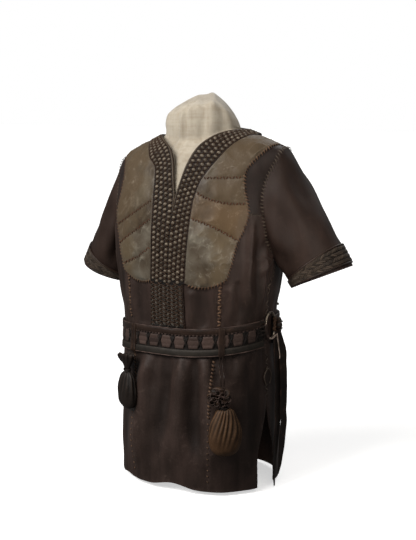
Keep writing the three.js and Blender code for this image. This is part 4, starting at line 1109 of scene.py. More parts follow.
def chest_patch(side, sign, k, columns=44):
    """Patch k from the lowest up. Its face swells by 1.5 (1 - exp(-d / 9)) away from its seams; the highest
    one keeps its fullness up to the shoulder seam."""
    inner_heights = PATCH_SEAMS[sign][0]
    share = np.linspace(0, 1, int((inner_heights[k + 1] - inner_heights[k]) / 2.4) + 4)
    u, v = np.meshgrid(np.linspace(0, 1, columns), share if k < 3 else 1 - (1 - share) ** 1.3)
    t = u if sign > 0 else 1 - u
    h = mix(patch_seam(sign, k, t)[1], patch_seam(sign, k + 1, t)[1], v)
    phi = angle_at(mix(braid_x(sign, h), sign * PATCH_EDGE(h), t), h)
    base = body_point(phi, h)
    left, right, low, high = edge_run(base)
    near = nearest(left, right, low, high if k < 3 else high + 9)
    lines = wrinkles(base, 20 + 10 * k + sign) * smooth(near / 8)
    folds = soft_noise(base * [1, 1, 0.7], 30, 40 + k) * 0.7 * smooth(near / 10)
    swell = 1.5 * (1 - np.exp(-near / 9)) - 0.25 * bell(near, 1.6)
    face = LIFT + TRIM + swell + 1.1 * lines + folds
    outer, inner = (drawn_in(on_skin(phi, h, out), PATCH_GAP) for out in (face, LIFT))
    # Painted shade: each patch darkens along its seams and edges, in a thin line and a broader fade.
    made = piece(f"patch_{side}_{k + 1}", grid_wall(outer, inner), CHEST[PATCH_FINISH[sign][k]],
                 f"chest_patch_{side}_{k + 1}", "chest_leather",
                 edge=np.clip(0.9 * lines + 0.5 * np.exp(-near / 4), 0, 1),
                 dirt=0.12 * bell(near, 1.3) + 0.3 * np.exp(-near / 9))
    cut_to(made, base, "laid", ["tunic_front"])


for side, sign in SIDES:
    for k in range(4):
        chest_patch(side, sign, k)
print("patch cuts:", {name: cut for name, cut in CUTS.items() if name.startswith("patch")})

# %% [markdown]
# ## Bindings
# A smooth lighter strip is rolled over the edge of the neck opening. It is a tube of half-round
# section along that edge, thinner where the two fronts meet.

# %% Neck bindings
BINDING_WIDTH, BINDING_END = 3.9, 534.0


def binding_width(h):
    return BINDING_WIDTH * smooth(np.clip((h - BINDING_END) / (NECK_START - BINDING_END), 0.12, 1))


def binding_edge(sign, h):
    """x of the binding's outer edge, which is the braid's inner edge."""
    return np.where(h < BINDING_END, neck_x(sign, h), neck_x(sign, h) + sign * binding_width(h))


def round_neck(half_width, low, angle):
    """Angle and height on the half ellipse round the back of the neck."""
    h = SHOULDER - (SHOULDER - low) * np.sin(angle)
    return angle_at(half_width * np.cos(angle), h, 1), h


def binding(side, phi, h, width):
    roll = tube(on_skin(phi, h, 0.9), body_normal(phi, h), width / 2 + 0.2, 2.3, 14)
    piece(f"neck_binding_{side}_roll", roll, BINDING, f"neck_binding_{side}", "binding_leather", edge=0.2)


for side, sign in SIDES:
    h = mix(BINDING_END - 4, SHOULDER, 1 - (1 - np.linspace(0, 1, 110)) ** 1.2)
    width = binding_width(h)
    binding(side, angle_at(neck_x(sign, h) + sign * width / 2, h), h, width)
half_turn = np.linspace(0, np.pi, 110)
middle_line = round_neck(BACK_NECK[0] + BINDING_WIDTH / 2, BACK_NECK[1] - BINDING_WIDTH / 2, half_turn)
binding("back", *middle_line, BINDING_WIDTH)
print("binding width at the shoulder: %.1f mm" % binding_width(SHOULDER))

# %% [markdown]
# ## Plaits
# The neck's bands are flat plaits of four narrow strips. What shows of each strip between two
# crossings is a short plump bead, so a plait is columns of such beads, each column half a step
# ahead of the next and leaning by turns, on a dark ground between two rolled edges.

# %% Plait helpers
def tones(count, seed):
    return np.clip(np.random.default_rng(seed).normal(0.5, 0.22, count), 0, 1)


def paired_edges(inner, outer, count):
    """Two edge lines, each (angle, height), sampled at equal shares of their own lengths, so that rows stay
    square to the band. Gives at(share along, share across) and the band's length."""
    lines, even = [], np.linspace(0, 1, count)
    for phi, h in (inner, outer):
        run = distance_along(body_point(phi, h))
        stops = np.linspace(0, run[-1], count)
        lines.append((np.interp(stops, run, phi), np.interp(stops, run, h), run[-1]))

    def at(share, t):
        return tuple(mix(np.interp(share, even, a), np.interp(share, even, b), t) for a, b in list(zip(*lines))[:2])

    return at, (lines[0][2] + lines[1][2]) / 2


def band_frame(at, share, t, out):
    """Point, unit vectors along and across the band and out of it, and the band's width there."""
    point, normal = on_skin(*at(share, t), out), body_normal(*at(share, t))
    ahead, behind = (on_skin(*at(np.clip(share + step, 0, 1), t), out) for step in (0.004, -0.004))
    along = unit(ahead - behind)
    width = np.linalg.norm(on_skin(*at(share, 1.0), out) - on_skin(*at(share, 0.0), out), axis=-1)
    return point, along, unit(np.cross(normal, along)), normal, width


GROUND_THICKNESS, LATTICE_LEAN = 1.3, 0.42


def plait(name, node, band, columns, pitch, finish, seed, lean=0.12, plump=2.2, margin=0.04, bead=0.58, fill=0.38,
          rolled=(0.012, 0.988)):
    """Ground wall, rolled edges and beads of one plaited band, and between the beads a lattice of dark
    strands that lean both ways; the ground is the sheet, and the rest goes with it. bead and fill are a
    bead's length and half width against its step along and across."""
    at, length = band
    step, run = length / int(length / pitch), np.linspace(0, 1, max(int(length / 3), 8))
    phi, h = at(*np.meshgrid(run, np.linspace(0, 1, 15), indexing="ij"))
    base = body_point(phi, h)
    shape = grid_wall(*(drawn_in(on_skin(phi, h, out)) for out in (LIFT + GROUND_THICKNESS, LIFT)))
    ground = piece(name + "_ground", shape, GROUND, node, "braid_leather")
    rows = int(length / pitch)
    row, column = (v.ravel() for v in np.meshgrid(np.arange(rows), np.arange(columns), indexing="ij"))
    share = (row + 0.25) / rows + 0.5 * (column % 2) / rows
    keep = share < 1 - 0.35 / rows
    share, column = share[keep], column[keep]
    t = (1 - margin) * (column + 0.5) / columns
    point, along, across, normal, width = band_frame(at, share, t, LIFT + GROUND_THICKNESS + 0.3)
    way = unit(along + across * (lean * np.where(column % 2, 1, -1))[:, None])
    half = (bead * step / 2 * np.random.default_rng(seed).uniform(0.93, 1.05, len(share)))[:, None]
    wide = width * (1 - 2 * margin) / columns
    shape = strands(point - way * half, point + way * half, normal, wide * fill, plump)
    beads = piece(name + "_beads", shape, finish, slot="braid_leather", tone=tones(len(share), seed)[shape[2]])
    low, _, across, normal, _ = band_frame(at, np.clip(share + 0.5 / rows, 0, 1), t, LIFT + GROUND_THICKNESS + 0.2)
    crossing = []
    for lean_to in (1, -1):
        reach = across * (lean_to * wide * 0.62)[:, None] + along * (LATTICE_LEAN * step)
        crossing.append(strands(low - reach, low + reach, normal, 1.0, 1.5, rise=0.35, sides=4))
    lattice = piece(name + "_lattice", joined(*crossing), LATTICE, slot="braid_leather", tone=0.5)
    rolls = []
    for t_edge in rolled:
        point, _, _, normal, _ = band_frame(at, run, np.full(len(run), t_edge), LIFT + 0.9)
        rolls.append(tube(point, normal, 1.3, 1.5, 8))
    edges = piece(name + "_edges", joined(*rolls), BELT, slot="braid_leather", edge=0.15)
    cut_to(ground, base, "laid", ["tunic_front"], [beads, edges, lattice])
    return len(share)


# %% Neck braids
NECK_PITCH = 10.6
beads_made = {}
for side, sign in SIDES:
    h = np.linspace(440, SHOULDER, 500)
    band = paired_edges((angle_at(binding_edge(sign, h), h), h), (angle_at(braid_x(sign, h), h), h), 300)
    beads_made[side] = plait(f"neck_plait_{side}", f"neck_braid_{side}", band, 4, NECK_PITCH, BEADS, 30 + sign,
                             rolled=(0.988,))
half_turn = np.linspace(0, np.pi, 300)
inner_edge = round_neck(BACK_NECK[0] + BINDING_WIDTH, BACK_NECK[1] - BINDING_WIDTH, half_turn)
band = paired_edges(inner_edge, round_neck(*BACK_BRAID, half_turn), 300)
beads_made["back"] = plait("neck_plait_back", "neck_braid_back", band, 4, NECK_PITCH, BEADS, 35, fill=0.44)
print("beads:", beads_made)

# %% Belly braid
def belly_edge(side):
    """One edge of the lower braid, from the belt's top up to the neck braids."""
    v = np.linspace(0, 1, 120)
    x = side * mix(42, 38, v) - mix(4, 2, v)
    h = mix(belt_middle(angle_at(x, 350.0)) + BELT_HALF + 1.2, 439.6, v)
    return angle_at(x, h), h


print("belly beads:", plait("belly_plait", "belly_braid", paired_edges(belly_edge(-1), belly_edge(1), 120), 8, 8.4,
                            BELLY_STRANDS, 41, lean=0.75, plump=1.8, margin=0.03, bead=1.0, fill=0.24))

# %% [markdown]
# ## Cuffs
# Each cuff is a band of rope-like plait: four rows of leaning strands, every second row leaning
# the other way, so that they read as one twisted braid round the sleeve's hem.

# %% Cuffs
CUFF = (0.83, 0.975)  # where the band begins and ends on the sleeve
CUFF_ROWS, CUFF_PITCH = 4, 6.6
CUFF_REACH, CUFF_LEAN = 7.2, 0.55  # half a strand's length, and how much it runs along the sleeve


def cuff(side, sign):
    """A ground wall, strands in rows on it at even angles, and a roll along both edges."""
    round_hem = np.arange(0, 360, 3)
    theta, t = np.meshgrid(round_hem, np.linspace(*CUFF, 16))
    base = sleeve_point(sign, theta, t)
    ground = piece(f"cuff_band_{side}", sleeve_wall(sign, theta, t, LIFT, LIFT + 1.1), GROUND, f"cuff_{side}",
                   "braid_leather")
    steps = int(distance_along(closed_cut(base)[8])[-1] / CUFF_PITCH)
    k, row = (v.ravel() for v in np.meshgrid(np.arange(steps), np.arange(CUFF_ROWS)))
    turn = (k + 0.5 * (row % 2)) * 360 / steps
    height = mix(*CUFF, (row + 0.5) / CUFF_ROWS * 0.9 + 0.05)
    point = on_sleeve(sign, turn, height, LIFT + 1.3)
    around, along, normal = sleeve_ways(sign, turn, height, lambda *where: on_sleeve(*where, LIFT))
    way = unit(around + along * (CUFF_LEAN * np.where(row % 2, 1, -1))[:, None])
    shape = strands(point - way * CUFF_REACH, point + way * CUFF_REACH, normal, 2.5, 1.9)
    tone = tones(len(point), 50 + sign)[shape[2]]
    braid = piece(f"cuff_plait_{side}", shape, CUFF_STRANDS, slot="braid_leather", tone=tone)
    rolls = []
    for end in (CUFF[0] + 0.002, CUFF[1] - 0.002):
        normal = sleeve_ways(sign, round_hem, end, on_sleeve)[2]
        rolls.append(tube(on_sleeve(sign, round_hem, end, LIFT + 1.1), normal, 1.7, 1.9, 8, closed=True))
    edges = piece(f"cuff_edges_{side}", joined(*rolls), BELT, slot="braid_leather", edge=0.2)
    cut_to(ground, closed_cut(base), "laid", [f"tunic_sleeve_{side}"], [braid, edges])
    return len(point)


print("cuff strands:", [cuff(side, sign) for side, sign in SIDES])

# %% [markdown]
# ## Stitches and lacing
# Every seam is sewn by hand with narrow thong: slanted whip stitches over the patches' outer edges
# and round the armholes, a zigzag up each front seam, dark running stitches between patches. A
# stitch is a strand across the seam, arched over the leather. Stitches are spread along a seam by
# its true length.

# %% Stitch helpers
def along_seam(phi, h, pitch, out):
    """Points, directions and normals at even steps along a seam line, on the draped surface."""
    line = on_skin(phi, h, out)
    run = distance_along(line)
    stops = np.arange(pitch / 2, run[-1] - pitch / 3, pitch)
    along = unit(at_distance(stops + 1, run, line) - at_distance(stops - 1, run, line))
    return at_distance(stops, run, line), along, body_normal(np.interp(stops, run, phi), np.interp(stops, run, h))


def sewn(seam, pitch, reach, slant, half_width, seed, half_height=0.8, rise=0.9, out=0.3, zigzag=False):
    """Strands across a seam: from the point minus reach on one side to reach on the other, leaning along
    the seam by slant. With zigzag every second stitch leans the other way. The last part is each point's tone."""
    point, along, normal = along_seam(*seam, pitch, out)
    across = unit(np.cross(normal, along))
    lean = slant * np.where(zigzag & (np.arange(len(point)) % 2 == 0), -1.0, 1.0)
    draw = np.random.default_rng(seed)
    lean = (lean * draw.uniform(0.8, 1.2, len(point)))[:, None] / 2
    half = across * (reach * draw.uniform(0.85, 1.1, len(point)))[:, None] + along * lean
    points, quads, owner = strands(point - half, point + half, normal, half_width, half_height, rise)
    return points, quads, tones(len(point), seed + 1)[owner]


def sew(name, finish, slot, stitches):
    """One object from several seams' stitches."""
    shape = joined(*stitches)
    piece(name, shape, finish, slot=slot, tone=np.concatenate([tone for _, _, tone in stitches]))
    return len(shape[1])


# %% Seam lines that are laced
def front_seam(low, high):
    h = np.linspace(low, high, 400)
    return lambda sign: (angle_at(sign * FRONT_SEAM(h), h), h)


def side_seam(low, high):
    h = np.linspace(low, high, 400)
    return lambda sign: (side_edge(h, -1) if sign > 0 else -180 - side_edge(h, -1), h)


def level_seam(height, start, end):
    h = np.full(200, height)
    return lambda sign: (angle_at(sign * np.linspace(start, end, 200), h), h)


def patch_outline(sign):
    """The patches' outer edge from the shoulder down, round the lower corner and in to the braid."""
    h = np.linspace(745, 457, 500)
    x_low, h_low = patch_seam(sign, 0, np.linspace(0.97, 0.03, 160))
    x, h = np.concatenate([sign * (PATCH_EDGE(h) - 0.5), x_low]), np.concatenate([h, h_low])
    return angle_at(x, h), h


def between_patches(k):
    def line(sign):
        x, h = patch_seam(sign, k, np.linspace(0.03, 0.97, 200))
        return angle_at(x, h), h
    return line


# %% Lacing and stitching
ZIGZAG = dict(zigzag=True)
LACED = {  # lines, then pitch, reach, slant, half width, first seed and the rest of what sewn takes
    ("lacing_front_seams", TAN_THONG, "binding_leather"): [
        (front_seam(354, 450), 6.6, 3.6, 3.8, 1.9, 61, dict(rise=1.4, zigzag=True)),
        (front_seam(165, 286), 7.6, 3.2, 5.0, 2.0, 62, dict(rise=1.4)),
        (front_seam(24, 160), 12.5, 2.0, 2.4, 1.2, 63, {})],
    ("lacing_patches", TAN_THONG, "binding_leather"): [
        (patch_outline, 6.9, 4.6, 5.0, 1.35, 65, dict(rise=1.8, out=1.4))],
    ("lacing_armholes", GREY_THONG, "binding_leather"): [
        (lambda sign: armhole_place(np.linspace(4, 356, 500), sign), 7.2, 5.0, 4.4, 1.4, 70, dict(rise=1.3))],
    ("lacing_side_seams", GREY_THONG, "dark_leather"): [
        (side_seam(200, 290), 9.0, 4.4, 6.0, 1.2, 74, ZIGZAG), (side_seam(358, 484), 9.0, 4.4, 6.0, 1.2, 74, ZIGZAG)],
    ("stitching_yokes", GREY_THONG, "dark_leather"): [(level_seam(YOKE_SEAM, 154, 175), 6.0, 3.2, 3.0, 1.1, 78, {})],
    ("stitching_shoulders", DARK_THREAD, "dark_leather"): [(level_seam(750.4, 180, 191), 6.0, 3.0, 2.5, 1.0, 81, {})],
}
faces = []
for what, rows in LACED.items():
    both = [sewn(line(sign), *sizes, seed + sign, **rest) for line, *sizes, seed, rest in rows for sign in (1, -1)]
    faces.append(sew(*what, both))
faces.append(sew("stitching_patches", DARK_THREAD, "chest_leather", [
    sewn(between_patches(k)(sign), 6.4, 2.9, 3.4, 1.1, 84 + k + 4 * sign, out=3.0, zigzag=True)
    for sign in (1, -1) for k in (1, 2, 3)]))
print("stitch faces:", faces)

# %% [markdown]
# ## Slit tabs
# A small pointed tab reinforces the top of each side slit, outlined with a fine lighter thread.

# %% Slit tabs
TAB_TURN, TAB_HALF, TAB_LOW, TAB_MIDDLE, TAB_TOP = -7.0, 6.5, 223, 241, 258


def slit_tab(side, sign):
    """Half width: a sine from 45 % at the foot to the full 6.5 degrees in the middle, a cosine up to the tip."""
    u, v = np.meshgrid(np.linspace(0, 1, 21), np.linspace(0, 1, 31))
    share = np.where(v < 0.5, mix(0.45, 1, np.sin(np.pi * v)), np.cos(np.pi * (v - 0.5)) * 0.92 + 0.08)
    h = np.where(v < 0.5, mix(TAB_LOW, TAB_MIDDLE, 2 * v), mix(TAB_MIDDLE, TAB_TOP, 2 * v - 1))
    turn = TAB_TURN + TAB_HALF * share * (2 * u - 1)
    phi = turn if sign > 0 else -180 - turn
    base = body_point(phi, h)
    near = nearest(*edge_run(base))
    shape = grid_wall(on_skin(phi, h, LIFT + TRIM - 0.8 * np.exp(-near / 2)), on_skin(phi, h, LIFT))
    made = piece(f"tab_{side}", shape, DARK, f"slit_tab_{side}", "dark_leather", edge=np.exp(-near / 3))
    left, right = (mix(phi[1:30, 1], phi[1:30, -2], t) for t in (0.04, 0.96))
    turn, height = np.concatenate([left, right[::-1]]), np.concatenate([h[1:30, 1], h[29:0:-1, 1]])
    thread = tube(on_skin(turn, height, LIFT + TRIM - 0.2), body_normal(turn, height), 1.0, 0.9, 6)
    thread = piece(f"tab_thread_{side}", thread, GREY_THONG, slot="dark_leather", tone=0.8)
    cut_to(made, base, "laid", ["tunic_front"], [thread])


for side, sign in SIDES:
    slit_tab(side, sign)
print("tab cut:", CUTS["tab_left"])

# %% [markdown]
# ## Belt
# The belt is one wide band with a dark strip sewn along each edge. Between the strips stiff light
# blocks are laced on: each is three short bars side by side, the middle one longest, and crossed
# thongs hold one block to the next. A thin rolled cord finishes both edges.

# %% Belt band and strips
BELT_FROM, BELT_TO = -358.0, -14.0


def belt_layer(name, node, low, high, inner, outer, finish, crown=0.0, rows=9):
    """A wall round the body between two offsets; its outside is rounded over by 1.1 exp(-(d / 1.6)^2) at the
    edges and crowned between."""
    phi, v = np.meshgrid(np.linspace(BELT_FROM, BELT_TO, 300), np.linspace(0, 1, rows))
    h = belt_middle(phi) + mix(low, high, v)
    base = body_point(phi, h)
    _, _, down, up = edge_run(base)
    near, share = np.minimum(down, up), np.clip(4 * down * up / (down + up) ** 2, 0, 1)
    worn = 0.25 * soft_noise(base, 26, 90 + rows)
    outside = outer - 1.1 * bell(near, 1.6) + crown * share + worn * share
    shape = grid_wall(on_skin(phi, h, outside), on_skin(phi, h, inner))
    return piece(name, shape, finish, node, edge=np.clip(np.exp(-near / 1.6) + 0.25 * worn, 0, 1)), base


def belt_line(offset, out):
    phi = np.linspace(BELT_FROM, BELT_TO, 420)
    h = belt_middle(phi) + offset
    return on_skin(phi, h, out), body_normal(phi, h)


STRIP = BELT_HALF - BELT_EDGE  # from the belt's middle to its strips
BAND_TOP, STRIP_TOP = 2.9, 5.1  # how far their faces lie off the panel
band = belt_layer("belt_body", "belt_band", -BELT_HALF, BELT_HALF, LIFT, BAND_TOP, GROUND, rows=17)
strips = [
    belt_layer("belt_strip_upper", "belt_upper_strip", STRIP, BELT_HALF, BAND_TOP, STRIP_TOP, BELT, 0.6),
    belt_layer("belt_strip_lower", "belt_lower_strip", -BELT_HALF, -STRIP, BAND_TOP, STRIP_TOP, BELT_LOWER, 0.6),
    belt_layer("belt_lacing_ground", "belt_laced_strip", 1 - STRIP, STRIP - 1, 2.95, 3.5, GROUND, rows=7)]

# %% Blocks and crossed thongs
BLOCK_PITCH, BLOCK_HALF_HEIGHT, BLOCK_REACH, BLOCK_SLOPE = 31.0, 13, 12.8, 3.6


def belt_blocks():
    """Blocks at even steps of the band's length. Each is a low six-sided plate, 12.8 - 3.6 |v| long to
    either side at the height 13 v, rounded down at its edge and cut by two grooves into three bars;
    crossed thongs lie between neighbours."""
    run = distance_along(belt_line(0, 4.0)[0])
    count = int((run[-1] - 26) / BLOCK_PITCH)
    stops = run[-1] - 15 - BLOCK_PITCH * (np.arange(count) + 0.5)
    centre = np.interp(stops, run, np.linspace(BELT_FROM, BELT_TO, len(run)))
    draw, per_mm = np.random.default_rng(91), (BELT_TO - BELT_FROM) / run[-1]
    v, u = np.meshgrid(np.linspace(-1, 1, 19), np.linspace(-1, 1, 13), indexing="ij")
    v = np.sign(v) * (1 - (1 - np.abs(v)) ** 1.25)
    reach = BLOCK_REACH - BLOCK_SLOPE * np.abs(v)
    near = np.minimum(reach * (1 - np.abs(u)), BLOCK_HALF_HEIGHT * (1 - np.abs(v)))
    grooves = sum(bell(v - at, 0.06) for at in (0.36, -0.36))
    height = 4.95 - 1.3 * bell(near, 1.1) - 0.75 * grooves
    walls, plate_tones = [], []
    for middle in centre:
        phi = middle + reach * u * per_mm * draw.uniform(0.95, 1.03)
        h = belt_middle(phi) + BLOCK_HALF_HEIGHT * v + draw.uniform(-0.4, 0.4) * u
        walls.append(grid_wall(on_skin(phi, h, height), on_skin(phi, h, 3.2)))
        bar = draw.normal(0, 0.16, 3)[np.clip(((v + 1) * 1.5).astype(int), 0, 2)] + draw.normal(0.5, 0.16)
        plate_tones.append(np.tile(np.clip(bar, 0, 1).ravel(), 2))
    half_step = BLOCK_PITCH / 2 * per_mm
    between = np.concatenate([[centre[0] + half_step], centre[:-1] - half_step])
    level, crosses = belt_middle(between), []
    for lean in (1, -1):
        start, end = (on_skin(between + way * 5.4 * per_mm, level + way * 12.6 * lean, 4.3) for way in (-1, 1))
        crosses.append(strands(start, end, body_normal(between, level), 1.3, 0.9, rise=0.6))
    return [piece("belt_blocks", joined(*walls), BLOCKS, sharp=60, tone=np.concatenate(plate_tones)),
            piece("belt_crossings", joined(*crosses), BLACK_THONG, tone=0.4)]


blocks = belt_blocks()
cords = joined(*[tube(*belt_line(z, 4.6), 1.25, 1.25, 8) for z in (BELT_HALF - 0.6, 0.6 - BELT_HALF)])
edges = piece("belt_edge_cords", cords, BLOCKS, tone=0.55 + 0.3 * soft_noise(cords[0], 20, 95))
seam = np.linspace(BELT_FROM, BELT_TO, 400)
crossed = [sewn((seam, belt_middle(seam) + STRIP), 8.0, 1.9, lean, 0.75, 96, 0.6, 0.7, 5.0) for lean in (4.2, -4.2)]
tone = np.concatenate([tone for _, _, tone in crossed])
stitches = piece("belt_cross_stitches", joined(*crossed), BLOCKS, tone=tone)
cut_to(*band, "laid", ["tunic_front", "tunic_back"], [*blocks, edges, stitches])
for strip in strips:
    cut_to(*strip, "laid", ["belt_body"])
print("belt cut:", CUTS["belt_body"])

# %% [markdown]
# ## Hangers
# A flat loop over the belt carries each pouch: one strap in front, a pair of narrower straps at the
# side. Each strap is a bent wall with softened edges.

# %% Hangers
BODY_RADIUS = 150  # mm, for a strap's width in degrees


def hanger(name, node, phi, width, below):
    """A strap from just above the belt to just under it, its edges rounded over by 0.9 exp(-(d / 1.3)^2)."""
    u, v = np.meshgrid(np.linspace(0, 1, 9), np.linspace(0, 1, 34))
    turn = phi + np.degrees(width / 2 / BODY_RADIUS) * (2 * u - 1)
    h = belt_middle(phi) + mix(-BELT_HALF - below, BELT_HALF + 1, v)
    base = body_point(turn, h)
    left, right, low, high = edge_run(base)
    near = nearest(left, right)
    rounding = 0.9 * bell(near, 1.3) + 0.8 * bell(nearest(low, high), 3)
    top = 7.9 - rounding + 0.25 * soft_noise(base, 16, 97)
    shape = grid_wall(on_skin(turn, h, top), on_skin(turn, h, 6.1))
    cut_to(piece(name, shape, BELT, node, edge=np.exp(-near / 1.6)), base, "laid", ["belt_body"])


hanger("hanger_front", "belt_hanger_front", -51, 11, 1.5)
hanger("hanger_side_a", "belt_hanger_side", -124.1, 7.2, 1.0)
hanger("hanger_side_b", None, -120.9, 7.2, 1.0)
print("hanger cut:", CUTS["hanger_front"])

# %% [markdown]
# ## Ring, knot and tails
# A steel ring stands at the end of the belt. The belt's free ends are rolled into a knot behind it,
# bound with dark thongs, and two flat tails hang from the knot to pointed tips.

# %% Ring and knot
RING_CENTRE, KNOT_CENTRE = np.array([175.3, -12.0, 348.0]), np.array([185.2, 8.5, 346.0])
RING_HALF_HEIGHT, RING_HALF_WIDTH, RING_WIRE, RING_LEAN = 27.5, 19.0, 4.4, 0.084
KNOT_HALF_HEIGHT, KNOT_RADIUS = 17.0, 6.2
OUTWARDS = [1.0, 0.0, 0.0]


def ring_path(t):
    """An upright ellipse whose plane leans with the body's side."""
    across = RING_HALF_WIDTH * np.cos(t)
    return RING_CENTRE + xyz(RING_LEAN * across, across, RING_HALF_HEIGHT * np.sin(t))


def knot_point(v, turn):
    """A rolled bundle: an upright spindle of radius sqrt(1 - (0.93 v)^2), with four wound ridges of 9 %."""
    size = KNOT_RADIUS * np.sqrt(1 - (0.93 * v) ** 2) * (1 - 0.09 * np.abs(np.sin(2 * turn + 3.2 * v)))
    return KNOT_CENTRE + xyz(size * np.cos(turn), size * np.sin(turn), KNOT_HALF_HEIGHT * v)


def rolled_knot():
    """The spindle, and three bands round it that slant from a start to an end height."""
    turn, v = np.meshgrid(circle(36), np.linspace(-1, 1, 30))
    ridges = np.abs(np.cos(2 * turn + 3.2 * v)) ** 3
    piece("knot_roll", capped(knot_point(v, turn)), BELT, "belt_knot", edge=0.7 * ridges)
    bands, turn = [], circle(48)
    for start, end in ((-0.62, -0.38), (-0.12, 0.18), (0.34, 0.66)):
        path = knot_point(mix(start, end, 0.5 + 0.5 * np.cos(turn + 0.6)), turn)
        bands.append(tube(path, unit(path - KNOT_CENTRE), 3.8, 0.7, 8, closed=True))
    shape = joined(*bands)
    piece("knot_bands", shape, BLACK_THONG, tone=0.6 + 0.3 * soft_noise(shape[0], 12, 101))


def ring_wrap(name, start, end, wide, deep, finish):
    """A thong wound round one side of the ring: along the wire its thickness is 1 + 0.16 |sin| at each of its
    turns, and it thins at both ends."""
    t = np.linspace(start, end, 90)
    winding = 0.16 * np.abs(np.sin(3.5 * np.pi * (t - start) / (end - start)))
    thick = 1 + winding - 0.25 * bell(np.minimum(t - start, end - t), 0.03)
    shape = tube(ring_path(t), OUTWARDS, wide * thick, deep * thick, 16)
    piece(name, shape, finish, tone=0.1 + 0.3 * soft_noise(shape[0], 10, 105))


path = ring_path(circle(96))
hammered = RING_WIRE / 2 * (1 + 0.04 * soft_noise(path, 9, 99))
piece("ring_forged", tube(path, OUTWARDS, hammered, hammered, 14, closed=True), STEEL, "belt_ring", "steel")
rolled_knot()
ring_wrap("ring_wrap_rear", -0.60, 0.58, 5.6, 3.4, TAN_THONG)
ring_wrap("ring_wrap_front", 2.9, 4.3, 3.4, 3.2, BLOCKS)
print("ring: %.0f mm high" % (2 * RING_HALF_HEIGHT + RING_WIRE))

# %% Ties at the ring
def ring_ties():
    """Crossed thongs sew the belt's end to the ring, and one bright tie crosses the ring's foot."""
    at = np.repeat(np.radians([156, 176, 196, 214]), 2)
    lean = np.tile([1, -1], 4)
    held = ring_path(at)
    start = on_skin(np.full(8, -19.5), held[:, 2] - 3.0 * lean, 5.4)
    end = held + xyz(2.4, 0.6, 3.0 * lean)
    normal = np.tile(body_normal(-17.0, 345.0), (8, 1))
    piece("ring_crosses", strands(start, end, normal, 1.2, 1.0, rise=0.8), BLACK_THONG, tone=0.9)
    foot = RING_CENTRE - [0, 0, RING_HALF_HEIGHT]
    route = through_points(foot + np.array([[1.0, -7, 2.6], [3.6, -1, 0.2], [4.6, 6, 1.6], [6.5, 13, 7.5]]), 26)
    piece("ring_tie", tube(route, [1.0, 0.0, 0.25], 1.7, 1.2, 8), PALE_EDGE, tone=0.8)


ring_ties()

# %% Tails
TAIL_WIDTH, TAIL_WALL = 17.0, 2.6
TAILS = {  # the way the strap faces, in degrees, and its route
    "rear": (62, [(184.6, 6.5, 335), (186.2, 8.6, 324), (190.4, 12, 300), (193.8, 11.5, 262), (195.3, 11, 215),
                  (195.8, 10.5, 165), (194.6, 10, 110), (191.5, 8.5, 68), (187.5, 6, 26)]),
    "front": (80, [(184, 6, 336), (182.2, 3.6, 327), (182.8, 2.2, 300), (184.5, 3.1, 262), (185.8, 3.2, 215),
                   (186.2, 2.6, 165), (185.5, 0, 110), (184.5, -8, 55), (187, -12, 5.5)]),
}


def tail(name, turn, route, rows=110, columns=11):
    """A flat strap along a smooth route: width 17, narrower at the knot, drawn to a point over its last
    quarter by 1 - 0.88 s^1.6; it cups by 1.2 mm across and turns a little as it hangs."""
    path = through_points(route, rows)[:, None]
    t, u = np.meshgrid(np.linspace(0, 1, rows), np.linspace(-1, 1, columns), indexing="ij")
    taper = mix(1, 0.12, np.clip((t - 0.75) / 0.25, 0, 1) ** 1.6) * mix(0.6, 1, np.clip(t / 0.12, 0, 1))
    angle = np.radians(turn + 9 * np.sin(3.1 * t + turn) * smooth(t / 0.2))
    side, face = xyz(np.cos(angle), np.sin(angle), 0), xyz(np.sin(angle), -np.cos(angle), 0)
    cup = 1.2 * (u**2 - 0.4) * np.sin(2.4 * t + 0.5) + 0.5 * soft_noise(path + side * u[..., None], 40, 103)
    base = path + side * (TAIL_WIDTH / 2 * u * taper)[..., None] + face * cup[..., None]
    thick = TAIL_WALL / 2 * (1 - 0.45 * np.abs(u) ** 6)[..., None]
    # worn is a painted highlight: the strap's two edges lighter, most near the knot.
    worn = np.abs(u) ** 5 * (0.35 + 0.65 * smooth((0.3 - t) / 0.2))
    shape = grid_wall(base + face * thick, base - face * thick)
    made, trim = piece(f"tail_{name}", shape, BELT_TAIL, f"belt_tail_{name}", edge=worn), []
    # The pale strip along the rear tail's near edge under the knot is a painted highlight, the lit edge of the strap.
    if name == "rear":
        rim = base[2 : rows // 5, 0]
        shape = tube(rim, face[0, 0], 1.2 * np.linspace(1.3, 0.5, len(rim)), 1.6, 8)
        trim = [piece("tail_edge_highlight", shape, PALE_EDGE, tone=0.7 + 0.3 * soft_noise(shape[0], 10, 106))]
    cut_to(made, base, "hung", ["knot_roll"], trim)


for name, (turn, route) in TAILS.items():
    tail(name, turn, route)
print("tail cuts:", CUTS["tail_rear"], CUTS["tail_front"])

# %% Bead on the side seam
def bead(phi, h, radius=3.2):
    """A small round metal bead sewn on: a circle turned about its normal, flattened by a third."""
    centre, normal = on_skin(phi, h, 2.0), body_normal(phi, h)
    across = unit(np.cross(normal, [0, 0, 1.0]))
    turn, v = (a[..., None] for a in np.meshgrid(circle(20), np.linspace(-0.985, 0.985, 12)))
    ring = np.sqrt(1 - v**2) * (np.cos(turn) * across + np.sin(turn) * np.cross(across, normal))
    piece("side_bead", capped(centre + radius * (ring + 0.65 * v * normal)), STEEL, slot="steel")


bead(20, 383)

# %% [markdown]
# ## Pouches
# A pouch is a round of soft leather drawn up by a thong: a full bag with pleats that run from the
# neck and fade out over its belly, and above the tie the loose edge stands out as a frill. The
# front one's frill is curled into a rosette; the side one's opens as a fan.

# %% Pouch helpers
UP = np.array([0, 0, 1.0])
POUCHES = {  # angle, height and offset of the axis, and depth against width
    "front_pouch": (-48.6, 140, 24.8, 0.66),
    "side_pouch": (-122.5, 200, 15.6, 0.55),
}


